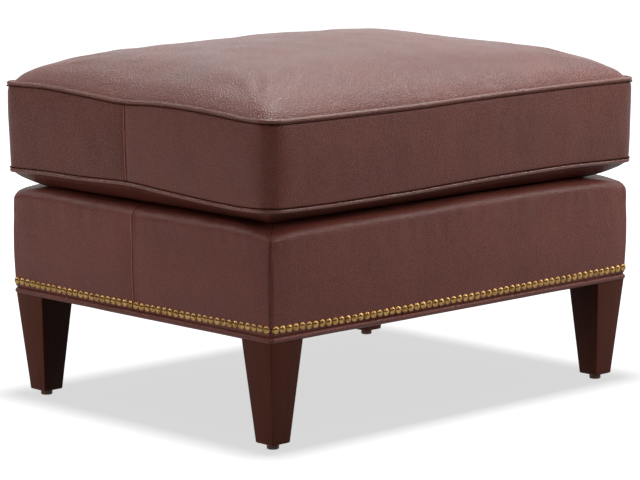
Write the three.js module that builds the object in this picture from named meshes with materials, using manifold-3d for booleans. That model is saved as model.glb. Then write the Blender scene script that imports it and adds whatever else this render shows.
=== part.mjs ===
// Upholstered leather footstool: a sprung base on four tapered legs, and a loose box cushion.
// Millimetres, +Z up. The origin is on the floor under the middle of the stool, and the long
// front side faces -Y.

import * as THREE from 'three';
import { mergeVertices } from 'three/addons/utils/BufferGeometryUtils.js';
import Module from 'manifold-3d';

const wasm = await Module();
wasm.setup();

// Whole stool
const baseWidth = 680;
const baseDepth = 520;
const cushionOverhang = 10;
const seatingGap = 0.3;
const leatherThickness = 1.4;
const coverSeamY = 6;
const boxingSeamY = 14;
const cutOverrun = 2;

// Legs, glides and leg bolts
const legHeight = 138;
const legTopSize = 56;
const legBottomSize = 31;
const legSetback = 0.8;
const legEdgeBevel = 1.2;
const glideHeight = 7;
const glideRadius = 8;
const glideEdgeBevel = 1.5;
const glidePinRadius = 1.8;
const glidePinLength = 15;
const boltRadius = 4;
const boltDepthInLeg = 36;
const boltInsetFromRail = 14;
const boltEndAboveNut = 4;
const nutHeight = 7;
const nutRadius = 8;
const boltSides = 8;
const nutSides = 6;
const glideSides = 10;

// Frame
const railThickness = 25;
const railHeight = 116.4;
const blockLeg = 78;
const blockCornerCut = 16;
const blockHeight = 40;

// Springs and deck
const springCount = 4;
const springBarCount = 22;
const springWire = 3.8;
const springBarHalfLength = 14;
const clipGauge = 1.2;
const clipWidth = 24;
const clipFoot = 6;
const insulatorThickness = 1.2;
const deckClothThickness = 1.2;
const deckBorderWidth = 60;
const deckFoamThickness = 15.9;

// Base padding and cover
const paddingThickness = 6;
const edgeRollWidth = 20;
const coverRollRadius = 14;
const coverCornerRadius = 5;
const coverInnerCornerRadius = 0.5;
const coverRollSteps = 4;
const coverCornerSteps = 2;

// Base welt, nails and dust cover
const baseWeltRadius = 3.5;
const baseWeltSetback = 0.5;
const baseWeltCornerCut = 2.2;
const nailHeightAboveWelt = 13.8;
const nailRadius = 5.5;
const nailRimHeight = 0.8;
const nailCrownHeight = 2.8;
const nailLinkHalfHeight = 2.9;
const longSideNails = 59;
const shortSideNails = 45;
const cornerNailShare = 0.6;
const dustCoverThickness = 0.9;
const dustCoverSetback = 10;

// Cushion
const cushionCornerRadius = 18;
const cushionDrawIn = 2;
const cushionWeltRadius = 3.1;
const lowerWeltHeight = 24;
const boxingHeight = 108.2;
const boxingSetback = 2.4;
const boxingBulge = 1;
const boxingRows = 4;
const panelEdgeRise = 1.5;
const crownRise = 36;
const crownRoll = 90;
const crownPower = 2.8;
const domeRise = 22;
const bellyRoll = 75;
const bellyPower = 2.2;
const crownRingShares = [0, 0.02, 0.07, 0.15, 0.28, 0.46, 0.7, 0.9];
const bellyRingShares = [0, 0.12, 0.34, 0.66, 1];
const crownCornerShare = 0.6;
const flattestCornerShare = 0.9;
const cushionCornerSteps = 4;
const cushionLongSteps = 8;
const cushionShortSteps = 6;
const weltSides = 6;

// Zip
const zipLength = 470;
const zipSlotHeight = 12;
const zipRecess = 1;
const zipTapeThickness = 0.9;
const zipTeethHeight = 5;
const zipTeethRise = 0.5;
const zipColumns = 8;
const zipEndMargin = 12;
const sliderLength = 9;
const sliderWidth = 8;
const sliderPlate = 1.2;
const bridgeClear = 1.8;
const bridgeGauge = 0.8;
const bridgeWidth = 2;
const pullGauge = 1;
const pullLength = 24;
const pullWidth = 7;
const pullEyeLength = 6;
const pullEyeWidth = 3.2;
const pullRimWidth = 0.9;

// Heights that stack up from the floor
const legBottomZ = glideHeight + seatingGap;
const legTopZ = legBottomZ + legHeight;
const frameBottomZ = legTopZ + seatingGap;
const railTopZ = frameBottomZ + railHeight;
const baseWeltZ = frameBottomZ + baseWeltRadius;
const coverBottomZ = baseWeltZ + baseWeltRadius + seatingGap;
const nailZ = baseWeltZ + nailHeightAboveWelt;
const springZ = railTopZ + 2 * seatingGap + clipGauge + springWire / 2;
const insulatorBottomZ = springZ + springWire / 2 + seatingGap;
const deckFoamBottomZ = insulatorBottomZ + insulatorThickness + seatingGap;
const deckFoamTopZ = deckFoamBottomZ + deckFoamThickness;
const deckUndersideZ = deckFoamTopZ + seatingGap;
const deckZ = deckUndersideZ + leatherThickness;
const bellyZ = deckZ + seatingGap;
const lowerWeltZ = deckZ + lowerWeltHeight;
const boxingBottomZ = lowerWeltZ + cushionWeltRadius + seatingGap;
const boxingTopZ = boxingBottomZ + boxingHeight;
const upperWeltZ = boxingTopZ + seatingGap + cushionWeltRadius;
const boxingMiddleZ = (boxingBottomZ + boxingTopZ) / 2;

// Distances inwards from the base cover's face
const railSetback = leatherThickness + paddingThickness + 2 * seatingGap;
const railInnerFace = railSetback + railThickness;
const legAxisInset = legSetback + legTopSize / 2;
const legInnerFace = legSetback + legTopSize;
const boltAxisInset = railInnerFace + boltInsetFromRail;
const baseWeltInset = baseWeltSetback + baseWeltRadius;

const baseHalfX = baseWidth / 2;
const baseHalfY = baseDepth / 2;
const cushionHalfX = baseHalfX + cushionOverhang;
const cushionHalfY = baseHalfY + cushionOverhang;

const leatherColour = 0x5a3e3a;
const legColour = 0x3e2a24;
const railColour = 0xc7a777;
const steelColour = 0x8f9296;
const brassColour = 0xa8813f;
const glideColour = 0x4a2c1c;
const foamColour = 0xe9dfbe;
const paddingColour = 0xe8e6df;
const feltColour = 0x8c857a;
const deckClothColour = 0x4b3531;
const dustColour = 0x1f1f20;
const zipColour = 0x3a2824;

const stool = new THREE.Group();

function addPiece(name, geometry, colour, roughness, metalness = 0) {
  const material = new THREE.MeshStandardMaterial({ color: colour, roughness, metalness });
  const mesh = new THREE.Mesh(geometry, material);
  mesh.name = name;
  stool.add(mesh);
  return mesh;
}

// Geometry helpers

function geometryFrom(positions, faces) {
  const geometry = new THREE.BufferGeometry();
  geometry.setAttribute('position', new THREE.Float32BufferAttribute(positions, 3));
  geometry.setIndex(faces);
  geometry.computeVertexNormals();
  return geometry;
}

function enclosedVolume(positions, faces) {
  const corner = (index) => new THREE.Vector3().fromArray(positions, index * 3);
  let sixfold = 0;
  for (let i = 0; i < faces.length; i += 3) {
    const [a, b, c] = [corner(faces[i]), corner(faces[i + 1]), corner(faces[i + 2])];
    sixfold += a.dot(b.cross(c));
  }
  return sixfold / 6;
}

// A closed body through rows of points, each row a closed loop with the same count of points.
// A ring joins its last row to its first. Otherwise the end rows are closed, by the triangles
// in capFaces or by a fan round each apex.
function bodyFromRows(rows, { ring = false, capFaces = null, apexes = null } = {}) {
  const count = rows[0].length;
  const positions = rows.flat().flatMap((point) => [point.x, point.y, point.z]);
  const faces = [];
  const lastJoin = ring ? rows.length : rows.length - 1;
  for (let row = 0; row < lastJoin; row++) {
    const here = row * count;
    const there = ((row + 1) % rows.length) * count;
    for (let k = 0; k < count; k++) {
      const next = (k + 1) % count;
      faces.push(here + k, here + next, there + next);
      faces.push(here + k, there + next, there + k);
    }
  }
  const end = (rows.length - 1) * count;
  if (capFaces) {
    for (const [a, b, c] of capFaces) {
      faces.push(c, b, a);
      faces.push(end + a, end + b, end + c);
    }
  }
  if (apexes) {
    const first = positions.length / 3;
    apexes.forEach((apex) => positions.push(apex.x, apex.y, apex.z));
    for (let k = 0; k < count; k++) {
      const next = (k + 1) % count;
      faces.push(next, k, first);
      faces.push(end + k, end + next, first + 1);
    }
  }
  if (enclosedVolume(positions, faces) < 0) faces.reverse();
  return geometryFrom(positions, faces);
}

// Triangles that close a flat outline, wound the way the outline runs
function capOf(outline) {
  const triangles = THREE.ShapeUtils.triangulateShape(outline, []);
  const clockwise = THREE.ShapeUtils.isClockWise(outline);
  return clockwise ? triangles.map(([a, b, c]) => [c, b, a]) : triangles;
}

// A tube of a few sides along points that lie nearly level, mitred at each point
function tubeAlong(points, radius, sides, ring) {
  const count = points.length;
  const rows = points.map((point, i) => {
    const before = points[ring ? (i + count - 1) % count : Math.max(i - 1, 0)];
    const after = points[ring ? (i + 1) % count : Math.min(i + 1, count - 1)];
    const arriving = point.clone().sub(before).setZ(0).normalize();
    const leaving = after.clone().sub(point).setZ(0).normalize();
    const along = arriving.clone().add(leaving).normalize();
    const across = new THREE.Vector3(along.y, -along.x, 0);
    const straight = arriving.lengthSq() === 0 || leaving.lengthSq() === 0;
    const mitre = straight ? 1 : 1 / along.dot(leaving);
    return Array.from({ length: sides }, (_, side) => {
      const angle = ((side + 0.5) / sides) * 2 * Math.PI;
      const sidewards = radius * mitre * Math.cos(angle);
      return point.clone().addScaledVector(across, sidewards).add(
        new THREE.Vector3(0, 0, radius * Math.sin(angle)),
      );
    });
  });
  const section = rows[0].map((_, side) => new THREE.Vector2(
    Math.cos(((side + 0.5) / sides) * 2 * Math.PI),
    Math.sin(((side + 0.5) / sides) * 2 * Math.PI),
  ));
  return bodyFromRows(rows, ring ? { ring } : { capFaces: capOf(section) });
}

function lathe(profile, sides, startAngle = 0) {
  const points = profile.map(([radius, z]) => new THREE.Vector2(radius, z));
  const geometry = new THREE.LatheGeometry(points, sides, startAngle);
  return tidyGeometry(geometry.rotateX(Math.PI / 2));
}

function extrude(outline, depth, holes = []) {
  const shape = new THREE.Shape(outline);
  holes.forEach((hole) => shape.holes.push(new THREE.Path(hole)));
  return new THREE.ExtrudeGeometry(shape, { depth, bevelEnabled: false });
}

function box(sizeX, sizeY, sizeZ, x, y, z) {
  return new THREE.BoxGeometry(sizeX, sizeY, sizeZ).translate(x, y, z);
}

function circle(centre, radius, sides) {
  return Array.from({ length: sides }, (_, side) => {
    const angle = (side / sides) * 2 * Math.PI;
    return new THREE.Vector2(
      centre.x + radius * Math.cos(angle),
      centre.y + radius * Math.sin(angle),
    );
  });
}

// Shared vertices merged, and triangles of no area left out
function tidyGeometry(geometry) {
  geometry.deleteAttribute('normal');
  geometry.deleteAttribute('uv');
  const merged = mergeVertices(geometry);
  const index = merged.getIndex().array;
  const faces = [];
  for (let i = 0; i < index.length; i += 3) {
    const [a, b, c] = [index[i], index[i + 1], index[i + 2]];
    if (a !== b && b !== c && c !== a) faces.push(a, b, c);
  }
  return geometryFrom(Array.from(merged.getAttribute('position').array), faces);
}

function toSolid(geometry) {
  const tidy = tidyGeometry(geometry.clone());
  return new wasm.Manifold(new wasm.Mesh({
    numProp: 3,
    vertProperties: new Float32Array(tidy.getAttribute('position').array),
    triVerts: new Uint32Array(tidy.getIndex().array),
  }));
}

function toGeometry(solid) {
  const mesh = solid.getMesh();
  return geometryFrom(Array.from(mesh.vertProperties), Array.from(mesh.triVerts));
}

function cut(geometry, ...cutters) {
  return toGeometry(cutters.reduce((solid, cutter) => solid.subtract(toSolid(cutter)), toSolid(geometry)));
}

const cornerSigns = [
  ['front_left', -1, -1],
  ['front_right', 1, -1],
  ['back_right', 1, 1],
  ['back_left', -1, 1],
];

function shaft(radius, bottomZ, topZ, x, y, sides) {
  const geometry = lathe([[0, bottomZ], [radius, bottomZ], [radius, topZ], [0, topZ]], sides);
  return geometry.translate(x, y, 0);
}

// Legs, each with its glide, its bolt and the bolt's nut

function legGeometry(x, y, boltX, boltY) {
  const corner = (size) => size / 2 * Math.SQRT2;
  const slope = (legTopSize - legBottomSize) / legHeight;
  const bevelSize = legBottomSize + slope * legEdgeBevel;
  const wood = lathe([
    [0, legBottomZ],
    [corner(legBottomSize - 2 * legEdgeBevel), legBottomZ],
    [corner(bevelSize), legBottomZ + legEdgeBevel],
    [corner(legTopSize), legTopZ],
    [0, legTopZ],
  ], 4, Math.PI / 4).translate(x, y, 0);
  const boltHole = shaft(boltRadius + seatingGap, legTopZ - boltDepthInLeg - seatingGap,
    legTopZ + cutOverrun, boltX, boltY, boltSides);
  const pinHole = shaft(glidePinRadius + seatingGap, legBottomZ - cutOverrun,
    legBottomZ + glidePinLength + seatingGap, x, y, boltSides);
  return cut(wood, boltHole, pinHole);
}

function glideGeometry() {
  return lathe([
    [0, 0],
    [glideRadius - glideEdgeBevel, 0],
    [glideRadius, glideEdgeBevel],
    [glideRadius, glideHeight],
    [glidePinRadius, glideHeight],
    [glidePinRadius, glideHeight + glidePinLength],
    [0, glideHeight + glidePinLength],
  ], glideSides);
}

function nutGeometry() {
  const middle = new THREE.Vector2();
  const hole = circle(middle, boltRadius + seatingGap, boltSides);
  return extrude(circle(middle, nutRadius, nutSides), nutHeight, [hole]);
}

const blockTopZ = frameBottomZ + blockHeight;
const nutBottomZ = blockTopZ + seatingGap;
const boltTopZ = nutBottomZ + nutHeight + boltEndAboveNut;

for (const [corner, signX, signY] of cornerSigns) {
  const legX = signX * (baseHalfX - legAxisInset);
  const legY = signY * (baseHalfY - legAxisInset);
  const boltX = signX * (baseHalfX - boltAxisInset);
  const boltY = signY * (baseHalfY - boltAxisInset);
  addPiece(`leg_${corner}`, legGeometry(legX, legY, boltX, boltY), legColour, 0.35);
  addPiece(`glide_${corner}`, glideGeometry(), glideColour, 0.5).position.set(legX, legY, 0);
  addPiece(`leg_bolt_${corner}`,
    shaft(boltRadius, legTopZ - boltDepthInLeg, boltTopZ, boltX, boltY, boltSides), steelColour, 0.35, 1);
  addPiece(`leg_nut_${corner}`, nutGeometry(), steelColour, 0.4, 1).position.set(boltX, boltY, nutBottomZ);
}

// Frame: two long rails, two short rails between them, and a block in each corner

const longRailLength = baseWidth - 2 * railSetback;
const shortRailLength = baseDepth - 2 * (railInnerFace + seatingGap);
const railMiddleZ = frameBottomZ + railHeight / 2;
for (const [side, sign] of [['front', -1], ['back', 1]]) {
  const y = sign * (baseHalfY - railSetback - railThickness / 2);
  const rail = box(longRailLength, railThickness, railHeight, 0, y, railMiddleZ);
  addPiece(`rail_${side}`, rail, railColour, 0.7);
}
for (const [side, sign] of [['left', -1], ['right', 1]]) {
  const x = sign * (baseHalfX - railSetback - railThickness / 2);
  const rail = box(railThickness, shortRailLength, railHeight, x, 0, railMiddleZ);
  addPiece(`rail_${side}`, rail, railColour, 0.7);
}

function cornerBlockGeometry(signX, signY) {
  const seat = railInnerFace + seatingGap;
  const place = (insetX, insetY) => new THREE.Vector2(
    signX * (baseHalfX - insetX),
    signY * (baseHalfY - insetY),
  );
  const outline = [
    place(seat, seat),
    place(seat + blockLeg, seat),
    place(seat + blockLeg, seat + blockCornerCut),
    place(seat + blockCornerCut, seat + blockLeg),
    place(seat, seat + blockLeg),
  ];
  const hole = circle(place(boltAxisInset, boltAxisInset), boltRadius + seatingGap, boltSides);
  return extrude(outline, blockHeight, [hole]).translate(0, 0, frameBottomZ);
}

for (const [corner, signX, signY] of cornerSigns) {
  addPiece(`corner_block_${corner}`, cornerBlockGeometry(signX, signY), railColour, 0.75);
}

// Springs from the front rail to the back rail, held in a clip at each end

const clipBack = springWire / 2 + seatingGap + clipGauge;
const springEndInset = edgeRollWidth + seatingGap + clipBack;
const springEndY = baseHalfY - springEndInset;
const springBarPitch = (2 * springEndY) / (springBarCount - 1);
const springSpacing = (baseWidth - 2 * railInnerFace) / springCount;

function springPoints() {
  const points = [];
  for (let bar = 0; bar < springBarCount; bar++) {
    const y = -springEndY + bar * springBarPitch;
    const side = bar % 2 ? -1 : 1;
    points.push(new THREE.Vector3(-side * springBarHalfLength, y, springZ));
    points.push(new THREE.Vector3(side * springBarHalfLength, y, springZ));
    if (bar < springBarCount - 1) {
      const loopEnd = springBarHalfLength + springBarPitch / 2;
      points.push(new THREE.Vector3(side * loopEnd, y + springBarPitch / 2, springZ));
    }
  }
  return points;
}

function clipGeometry() {
  const mouth = springWire + 2 * seatingGap;
  const outline = [
    [-clipBack, 0],
    [clipFoot, 0],
    [clipFoot, clipGauge],
    [clipGauge - clipBack, clipGauge],
    [clipGauge - clipBack, clipGauge + mouth],
    [springWire / 2, clipGauge + mouth],
    [springWire / 2, 2 * clipGauge + mouth],
    [-clipBack, 2 * clipGauge + mouth],
  ].map(([inwards, up]) => new THREE.Vector2(inwards, up));
  const clip = extrude(outline, clipWidth).translate(0, 0, -clipWidth / 2);
  return clip.rotateX(Math.PI / 2).rotateZ(Math.PI / 2);
}

const springGeometry = tubeAlong(springPoints(), springWire / 2 * Math.SQRT2, 4, false);
for (let i = 0; i < springCount; i++) {
  const x = (i - (springCount - 1) / 2) * springSpacing;
  const clipZ = railTopZ + seatingGap;
  addPiece(`spring_${i + 1}`, springGeometry.clone(), steelColour, 0.35, 1).position.set(x, 0, 0);
  const frontClip = addPiece(`spring_clip_front_${i + 1}`, clipGeometry(), steelColour, 0.5, 1);
  frontClip.position.set(x, -springEndY, clipZ);
  const backClip = addPiece(`spring_clip_back_${i + 1}`, clipGeometry(), steelColour, 0.5, 1);
  backClip.position.set(x, springEndY, clipZ);
  backClip.rotation.z = Math.PI;
}

// Deck: insulating cloth on the springs, foam, and cloth inside the leather border

function slab(inset, bottomZ, thickness) {
  return box(baseWidth - 2 * inset, baseDepth - 2 * inset, thickness, 0, 0, bottomZ + thickness / 2);
}

addPiece('deck_insulator', slab(railInnerFace, insulatorBottomZ, insulatorThickness), feltColour, 0.95);
addPiece('deck_foam', slab(edgeRollWidth + seatingGap, deckFoamBottomZ, deckFoamThickness),
  foamColour, 0.9);
addPiece('deck_cloth', slab(deckBorderWidth + seatingGap, deckUndersideZ, deckClothThickness),
  deckClothColour, 0.95);

// Base padding and cover share one way of going round the corners: a point of the section at
// a distance inwards from the cover's face is placed on a rounded rectangle that far in.

function cornerRadiusAt(inset) {
  return Math.max(coverCornerRadius - inset, coverInnerCornerRadius);
}

function rollSection(outerInset, topZ, radius) {
  return Array.from({ length: coverRollSteps + 1 }, (_, step) => {
    const angle = (step / coverRollSteps) * Math.PI / 2;
    return new THREE.Vector2(
      outerInset + radius * (1 - Math.cos(angle)),
      topZ - radius * (1 - Math.sin(angle)),
    );
  });
}

// Points of one side of a rounded rectangle, seen in a frame where that side faces -Y.
// An end is a corner's middle, or a seam at the given place.
function sidePoints(halfLength, reach, inset, startSeam, endSeam) {
  const radius = cornerRadiusAt(inset);
  const arcX = halfLength - inset - radius;
  const arcY = -(reach - inset - radius);
  const half = seatingGap / 2;
  const arc = (sign) => Array.from({ length: coverCornerSteps + 1 }, (_, step) => {
    const angle = (step / coverCornerSteps) * Math.PI / 4;
    const pulledIn = step === coverCornerSteps ? half : 0;
    return new THREE.Vector2(
      sign * (arcX + radius * Math.sin(angle) - pulledIn),
      arcY - radius * Math.cos(angle),
    );
  });
  const start = startSeam === null ? arc(-1).reverse() : [new THREE.Vector2(startSeam + half, inset - reach)];
  const end = endSeam === null ? arc(1) : [new THREE.Vector2(endSeam - half, inset - reach)];
  return [...start, ...end];
}

function coverPanel(halfLength, reach, turn, startSeam, endSeam) {
  const outer = rollSection(0, deckZ, coverRollRadius);
  const inner = rollSection(leatherThickness, deckUndersideZ, coverRollRadius - leatherThickness);
  const section = [
    new THREE.Vector2(0, coverBottomZ),
    ...outer,
    new THREE.Vector2(deckBorderWidth, deckZ),
    new THREE.Vector2(deckBorderWidth, deckUndersideZ),
    ...inner.reverse(),
    new THREE.Vector2(leatherThickness, coverBottomZ),
  ];
  const loops = section.map((point) => sidePoints(halfLength, reach, point.x, startSeam, endSeam));
  const rows = loops[0].map((_, column) => section.map((point, k) => (
    new THREE.Vector3(loops[k][column].x, loops[k][column].y, point.y)
  )));
  return bodyFromRows(rows, { capFaces: capOf(section) }).rotateZ(turn);
}

const quarterTurn = Math.PI / 2;
const coverPanels = [
  ['cover_front', baseHalfX, baseHalfY, 0, null, null],
  ['cover_back', baseHalfX, baseHalfY, 2 * quarterTurn, null, null],
  ['cover_right_front', baseHalfY, baseHalfX, quarterTurn, null, coverSeamY],
  ['cover_right_back', baseHalfY, baseHalfX, quarterTurn, coverSeamY, null],
  ['cover_left_front', baseHalfY, baseHalfX, -quarterTurn, -coverSeamY, null],
  ['cover_left_back', baseHalfY, baseHalfX, -quarterTurn, null, -coverSeamY],
];
for (const [name, halfLength, reach, turn, startSeam, endSeam] of coverPanels) {
  addPiece(name, coverPanel(halfLength, reach, turn, startSeam, endSeam), leatherColour, 0.5);
}

// Points round a rounded rectangle, anticlockwise from its front right corner. Each side may
// be drawn in towards its middle.
function roundedLoop({ halfX, halfY, radius, cornerSteps, shortSteps, longSteps, drawIn }) {
  const arcs = [[1, -1], [1, 1], [-1, 1], [-1, -1]].map(([signX, signY], corner) => (
    Array.from({ length: cornerSteps + 1 }, (_, step) => {
      const angle = (corner - 1 + step / cornerSteps) * quarterTurn;
      return new THREE.Vector2(
        signX * (halfX - radius) + radius * Math.cos(angle),
        signY * (halfY - radius) + radius * Math.sin(angle),
      );
    })
  ));
  return arcs.flatMap((arc, corner) => {
    const from = arc[cornerSteps];
    const to = arcs[(corner + 1) % 4][0];
    const steps = corner % 2 ? longSteps : shortSteps;
    const inwards = new THREE.Vector2(-Math.cos(corner * quarterTurn), -Math.sin(corner * quarterTurn));
    const side = Array.from({ length: steps - 1 }, (_, i) => {
      const along = (i + 1) / steps;
      const depth = drawIn * (1 - (2 * along - 1) ** 2);
      return from.clone().lerp(to, along).addScaledVector(inwards, depth);
    });
    return [...arc, ...side];
  });
}

function baseLoop(inset) {
  return roundedLoop({
    halfX: baseHalfX - inset,
    halfY: baseHalfY - inset,
    radius: cornerRadiusAt(inset),
    cornerSteps: 2 * coverCornerSteps,
    shortSteps: 1,
    longSteps: 1,
    drawIn: 0,
  });
}

// Padding on the rails, with the roll that rounds the deck's edge

const paddingFace = leatherThickness + seatingGap;
const paddingSection = [
  new THREE.Vector2(paddingFace, coverBottomZ),
  ...rollSection(paddingFace, deckFoamTopZ, coverRollRadius - paddingFace),
  new THREE.Vector2(edgeRollWidth, deckFoamTopZ),
  new THREE.Vector2(edgeRollWidth, railTopZ + seatingGap),
  new THREE.Vector2(paddingFace + paddingThickness, railTopZ + seatingGap),
  new THREE.Vector2(paddingFace + paddingThickness, coverBottomZ),
];
const paddingRows = paddingSection.map((point) => (
  baseLoop(point.x).map((place) => new THREE.Vector3(place.x, place.y, point.y))
));
addPiece('base_padding', bodyFromRows(paddingRows, { ring: true }), paddingColour, 0.95);

// Welt under the cover's lower edge

const weltPathX = baseHalfX - baseWeltInset;
const weltPathY = baseHalfY - baseWeltInset;
const baseWeltPoints = [[1, -1], [1, 1], [-1, 1], [-1, -1]].flatMap(([signX, signY]) => {
  const alongX = new THREE.Vector3(signX * (weltPathX - baseWeltCornerCut), signY * weltPathY, baseWeltZ);
  const alongY = new THREE.Vector3(signX * weltPathX, signY * (weltPathY - baseWeltCornerCut), baseWeltZ);
  return signX * signY < 0 ? [alongX, alongY] : [alongY, alongX];
});
addPiece('base_welt', tubeAlong(baseWeltPoints, baseWeltRadius, weltSides, true), leatherColour, 0.5);

// Nails: the domed heads touch each other in a row, and a low rim links them into one strip
// round the base

function nailTrimGeometry() {
  const positions = [];
  const faces = [];
  const quad = (a, b, c, d) => faces.push(a, b, c, a, c, d);
  const place = (turn, reach, along, out, z) => {
    const x = along;
    const y = -(reach + seatingGap + out);
    positions.push(x * Math.cos(turn) - y * Math.sin(turn), x * Math.sin(turn) + y * Math.cos(turn), z);
    return positions.length / 3 - 1;
  };
  const link = (turn, reach, along, spread) => [nailRimHeight, 0].flatMap((out) => (
    [-1, 1].map((sign) => (
      place(turn, reach, along + spread * (seatingGap + out), out, nailZ + sign * nailLinkHalfHeight)
    ))
  ));
  const joinPlain = (a, b) => {
    const [aFrontLow, aFrontHigh, aBackLow, aBackHigh] = a;
    const [bFrontLow, bFrontHigh, bBackLow, bBackHigh] = b;
    quad(aFrontLow, bFrontLow, bFrontHigh, aFrontHigh);
    quad(aBackLow, aBackHigh, bBackHigh, bBackLow);
    quad(aFrontHigh, bFrontHigh, bBackHigh, aBackHigh);
    quad(aFrontLow, aBackLow, bBackLow, bFrontLow);
  };
  const joinNail = (a, b, turn, reach, along) => {
    const [aFrontLow, aFrontHigh, aBackLow, aBackHigh] = a;
    const [bFrontLow, bFrontHigh, bBackLow, bBackHigh] = b;
    const crown = place(turn, reach, along, nailCrownHeight, nailZ);
    const [frontLow, frontHigh] = [-1, 1].map((sign) => (
      place(turn, reach, along, nailRimHeight, nailZ + sign * nailRadius)
    ));
    const [backLow, backHigh] = [-1, 1].map((sign) => (
      place(turn, reach, along, 0, nailZ + sign * nailRadius)
    ));
    const rim = [aFrontLow, frontLow, bFrontLow, bFrontHigh, frontHigh, aFrontHigh];
    rim.forEach((point, i) => faces.push(point, rim[(i + 1) % rim.length], crown));
    const back = [aBackLow, aBackHigh, backHigh, bBackHigh, bBackLow, backLow];
    for (let i = 1; i < back.length - 1; i++) faces.push(back[0], back[i], back[i + 1]);
    quad(aFrontHigh, frontHigh, backHigh, aBackHigh);
    quad(frontHigh, bFrontHigh, bBackHigh, backHigh);
    quad(aFrontLow, aBackLow, backLow, frontLow);
    quad(frontLow, backLow, bBackLow, bFrontLow);
  };
  const sides = [
    [baseHalfX, baseHalfY, longSideNails],
    [baseHalfY, baseHalfX, shortSideNails],
    [baseHalfX, baseHalfY, longSideNails],
    [baseHalfY, baseHalfX, shortSideNails],
  ];
  const firstCorner = link(0, baseHalfY, -baseHalfX, -1);
  let corner = firstCorner;
  sides.forEach(([half, reach, nails], side) => {
    const turn = side * quarterTurn;
    const pitch = 2 * half / (nails - 1 + 2 * cornerNailShare);
    const start = (cornerNailShare - 0.5) * pitch - half;
    let previous = link(turn, reach, start, 0);
    joinPlain(corner, previous);
    for (let nail = 0; nail < nails; nail++) {
      const next = link(turn, reach, start + (nail + 1) * pitch, 0);
      joinNail(previous, next, turn, reach, start + (nail + 0.5) * pitch);
      previous = next;
    }
    const lastSide = side === sides.length - 1;
    corner = lastSide ? firstCorner : link(turn, reach, half, 1);
    joinPlain(previous, corner);
  });
  return geometryFrom(positions, faces);
}

addPiece('nail_trim', nailTrimGeometry(), brassColour, 0.3, 1);

// Dust cover under the rails, notched round the legs

function dustCoverGeometry() {
  const notch = legInnerFace + seatingGap;
  const outline = [[1, -1], [1, 1], [-1, 1], [-1, -1]].flatMap(([signX, signY]) => {
    const place = (insetX, insetY) => new THREE.Vector2(
      signX * (baseHalfX - insetX),
      signY * (baseHalfY - insetY),
    );
    const steps = [
      place(notch, dustCoverSetback),
      place(notch, notch),
      place(dustCoverSetback, notch),
    ];
    return signX * signY < 0 ? steps : steps.reverse();
  });
  return extrude(outline, dustCoverThickness).translate(0, 0, legTopZ - dustCoverThickness);
}

addPiece('dust_cover', dustCoverGeometry(), dustColour, 0.95);

// Cushion: each surface is a set of loops at distances inwards from the cushion's outline

function cushionRadiusAt(inset) {
  const radius = Math.max(cushionCornerRadius - inset, crownCornerShare * inset);
  return Math.min(radius, flattestCornerShare * (cushionHalfY - inset));
}

function cushionLoop(inset) {
  return roundedLoop({
    halfX: cushionHalfX - inset,
    halfY: cushionHalfY - inset,
    radius: cushionRadiusAt(inset),
    cornerSteps: cushionCornerSteps,
    shortSteps: cushionShortSteps,
    longSteps: cushionLongSteps,
    drawIn: cushionDrawIn,
  });
}

const panelInset = 2 * cushionWeltRadius + seatingGap;
const crownEdgeZ = upperWeltZ + panelEdgeRise;
const bellyEdgeZ = lowerWeltZ - panelEdgeRise;

function easedRise(distance, roll, power) {
  return 1 - (1 - Math.min(distance / roll, 1)) ** power;
}

// Height of the cushion's top over a point
function crownZ(x, y) {
  const halfX = cushionHalfX - panelInset;
  const halfY = cushionHalfY - panelInset;
  const shareX = Math.min(Math.abs(x) / halfX, 1);
  const shareY = Math.min(Math.abs(y) / halfY, 1);
  const roll = easedRise(halfX * (1 - shareX), crownRoll, crownPower)
    * easedRise(halfY * (1 - shareY), crownRoll, crownPower);
  return crownEdgeZ + crownRise * roll + domeRise * (1 - shareX ** 2) * (1 - shareY ** 2);
}

// Height of the cushion's underside at a distance inwards
function undersideZ(inset) {
  return bellyEdgeZ - (bellyEdgeZ - bellyZ) * easedRise(inset - panelInset, bellyRoll, bellyPower);
}

const crownInsets = crownRingShares.map((share) => panelInset + share * (cushionHalfY - panelInset));
const bellyInsets = bellyRingShares.map((share) => panelInset + share * bellyRoll);

function crownLoops(below) {
  return crownInsets.map((inset) => cushionLoop(inset).map((place) => (
    new THREE.Vector3(place.x, place.y, crownZ(place.x, place.y) - below)
  )));
}

function bellyLoops(above) {
  return bellyInsets.map((inset) => cushionLoop(inset).map((place) => (
    new THREE.Vector3(place.x, place.y, undersideZ(inset) + above)
  )));
}

function crownApex(below) {
  return new THREE.Vector3(0, 0, crownZ(0, 0) - below);
}

function bellyApex(above) {
  return new THREE.Vector3(0, 0, bellyZ + above);
}

const topRows = [...crownLoops(0).reverse(), ...crownLoops(leatherThickness)];
addPiece('cushion_top', bodyFromRows(topRows, { apexes: [crownApex(0), crownApex(leatherThickness)] }),
  leatherColour, 0.45);

const undersideRows = [...bellyLoops(0).reverse(), ...bellyLoops(leatherThickness)];
addPiece('cushion_underside',
  bodyFromRows(undersideRows, { apexes: [bellyApex(0), bellyApex(leatherThickness)] }), leatherColour, 0.5);

// Boxing: its face bulges a little between the welts

function boxingInset(z) {
  const share = (z - boxingBottomZ) / boxingHeight;
  return boxingSetback - boxingBulge * Math.sin(Math.PI * Math.min(Math.max(share, 0), 1));
}

// Distance from the middle of the cushion to a side that lies inset inwards, at a place along it
function sideReach(half, otherHalf, along, inset) {
  const share = along / (otherHalf - cushionCornerRadius);
  return half - inset - cushionDrawIn * (1 - share ** 2);
}

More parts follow.
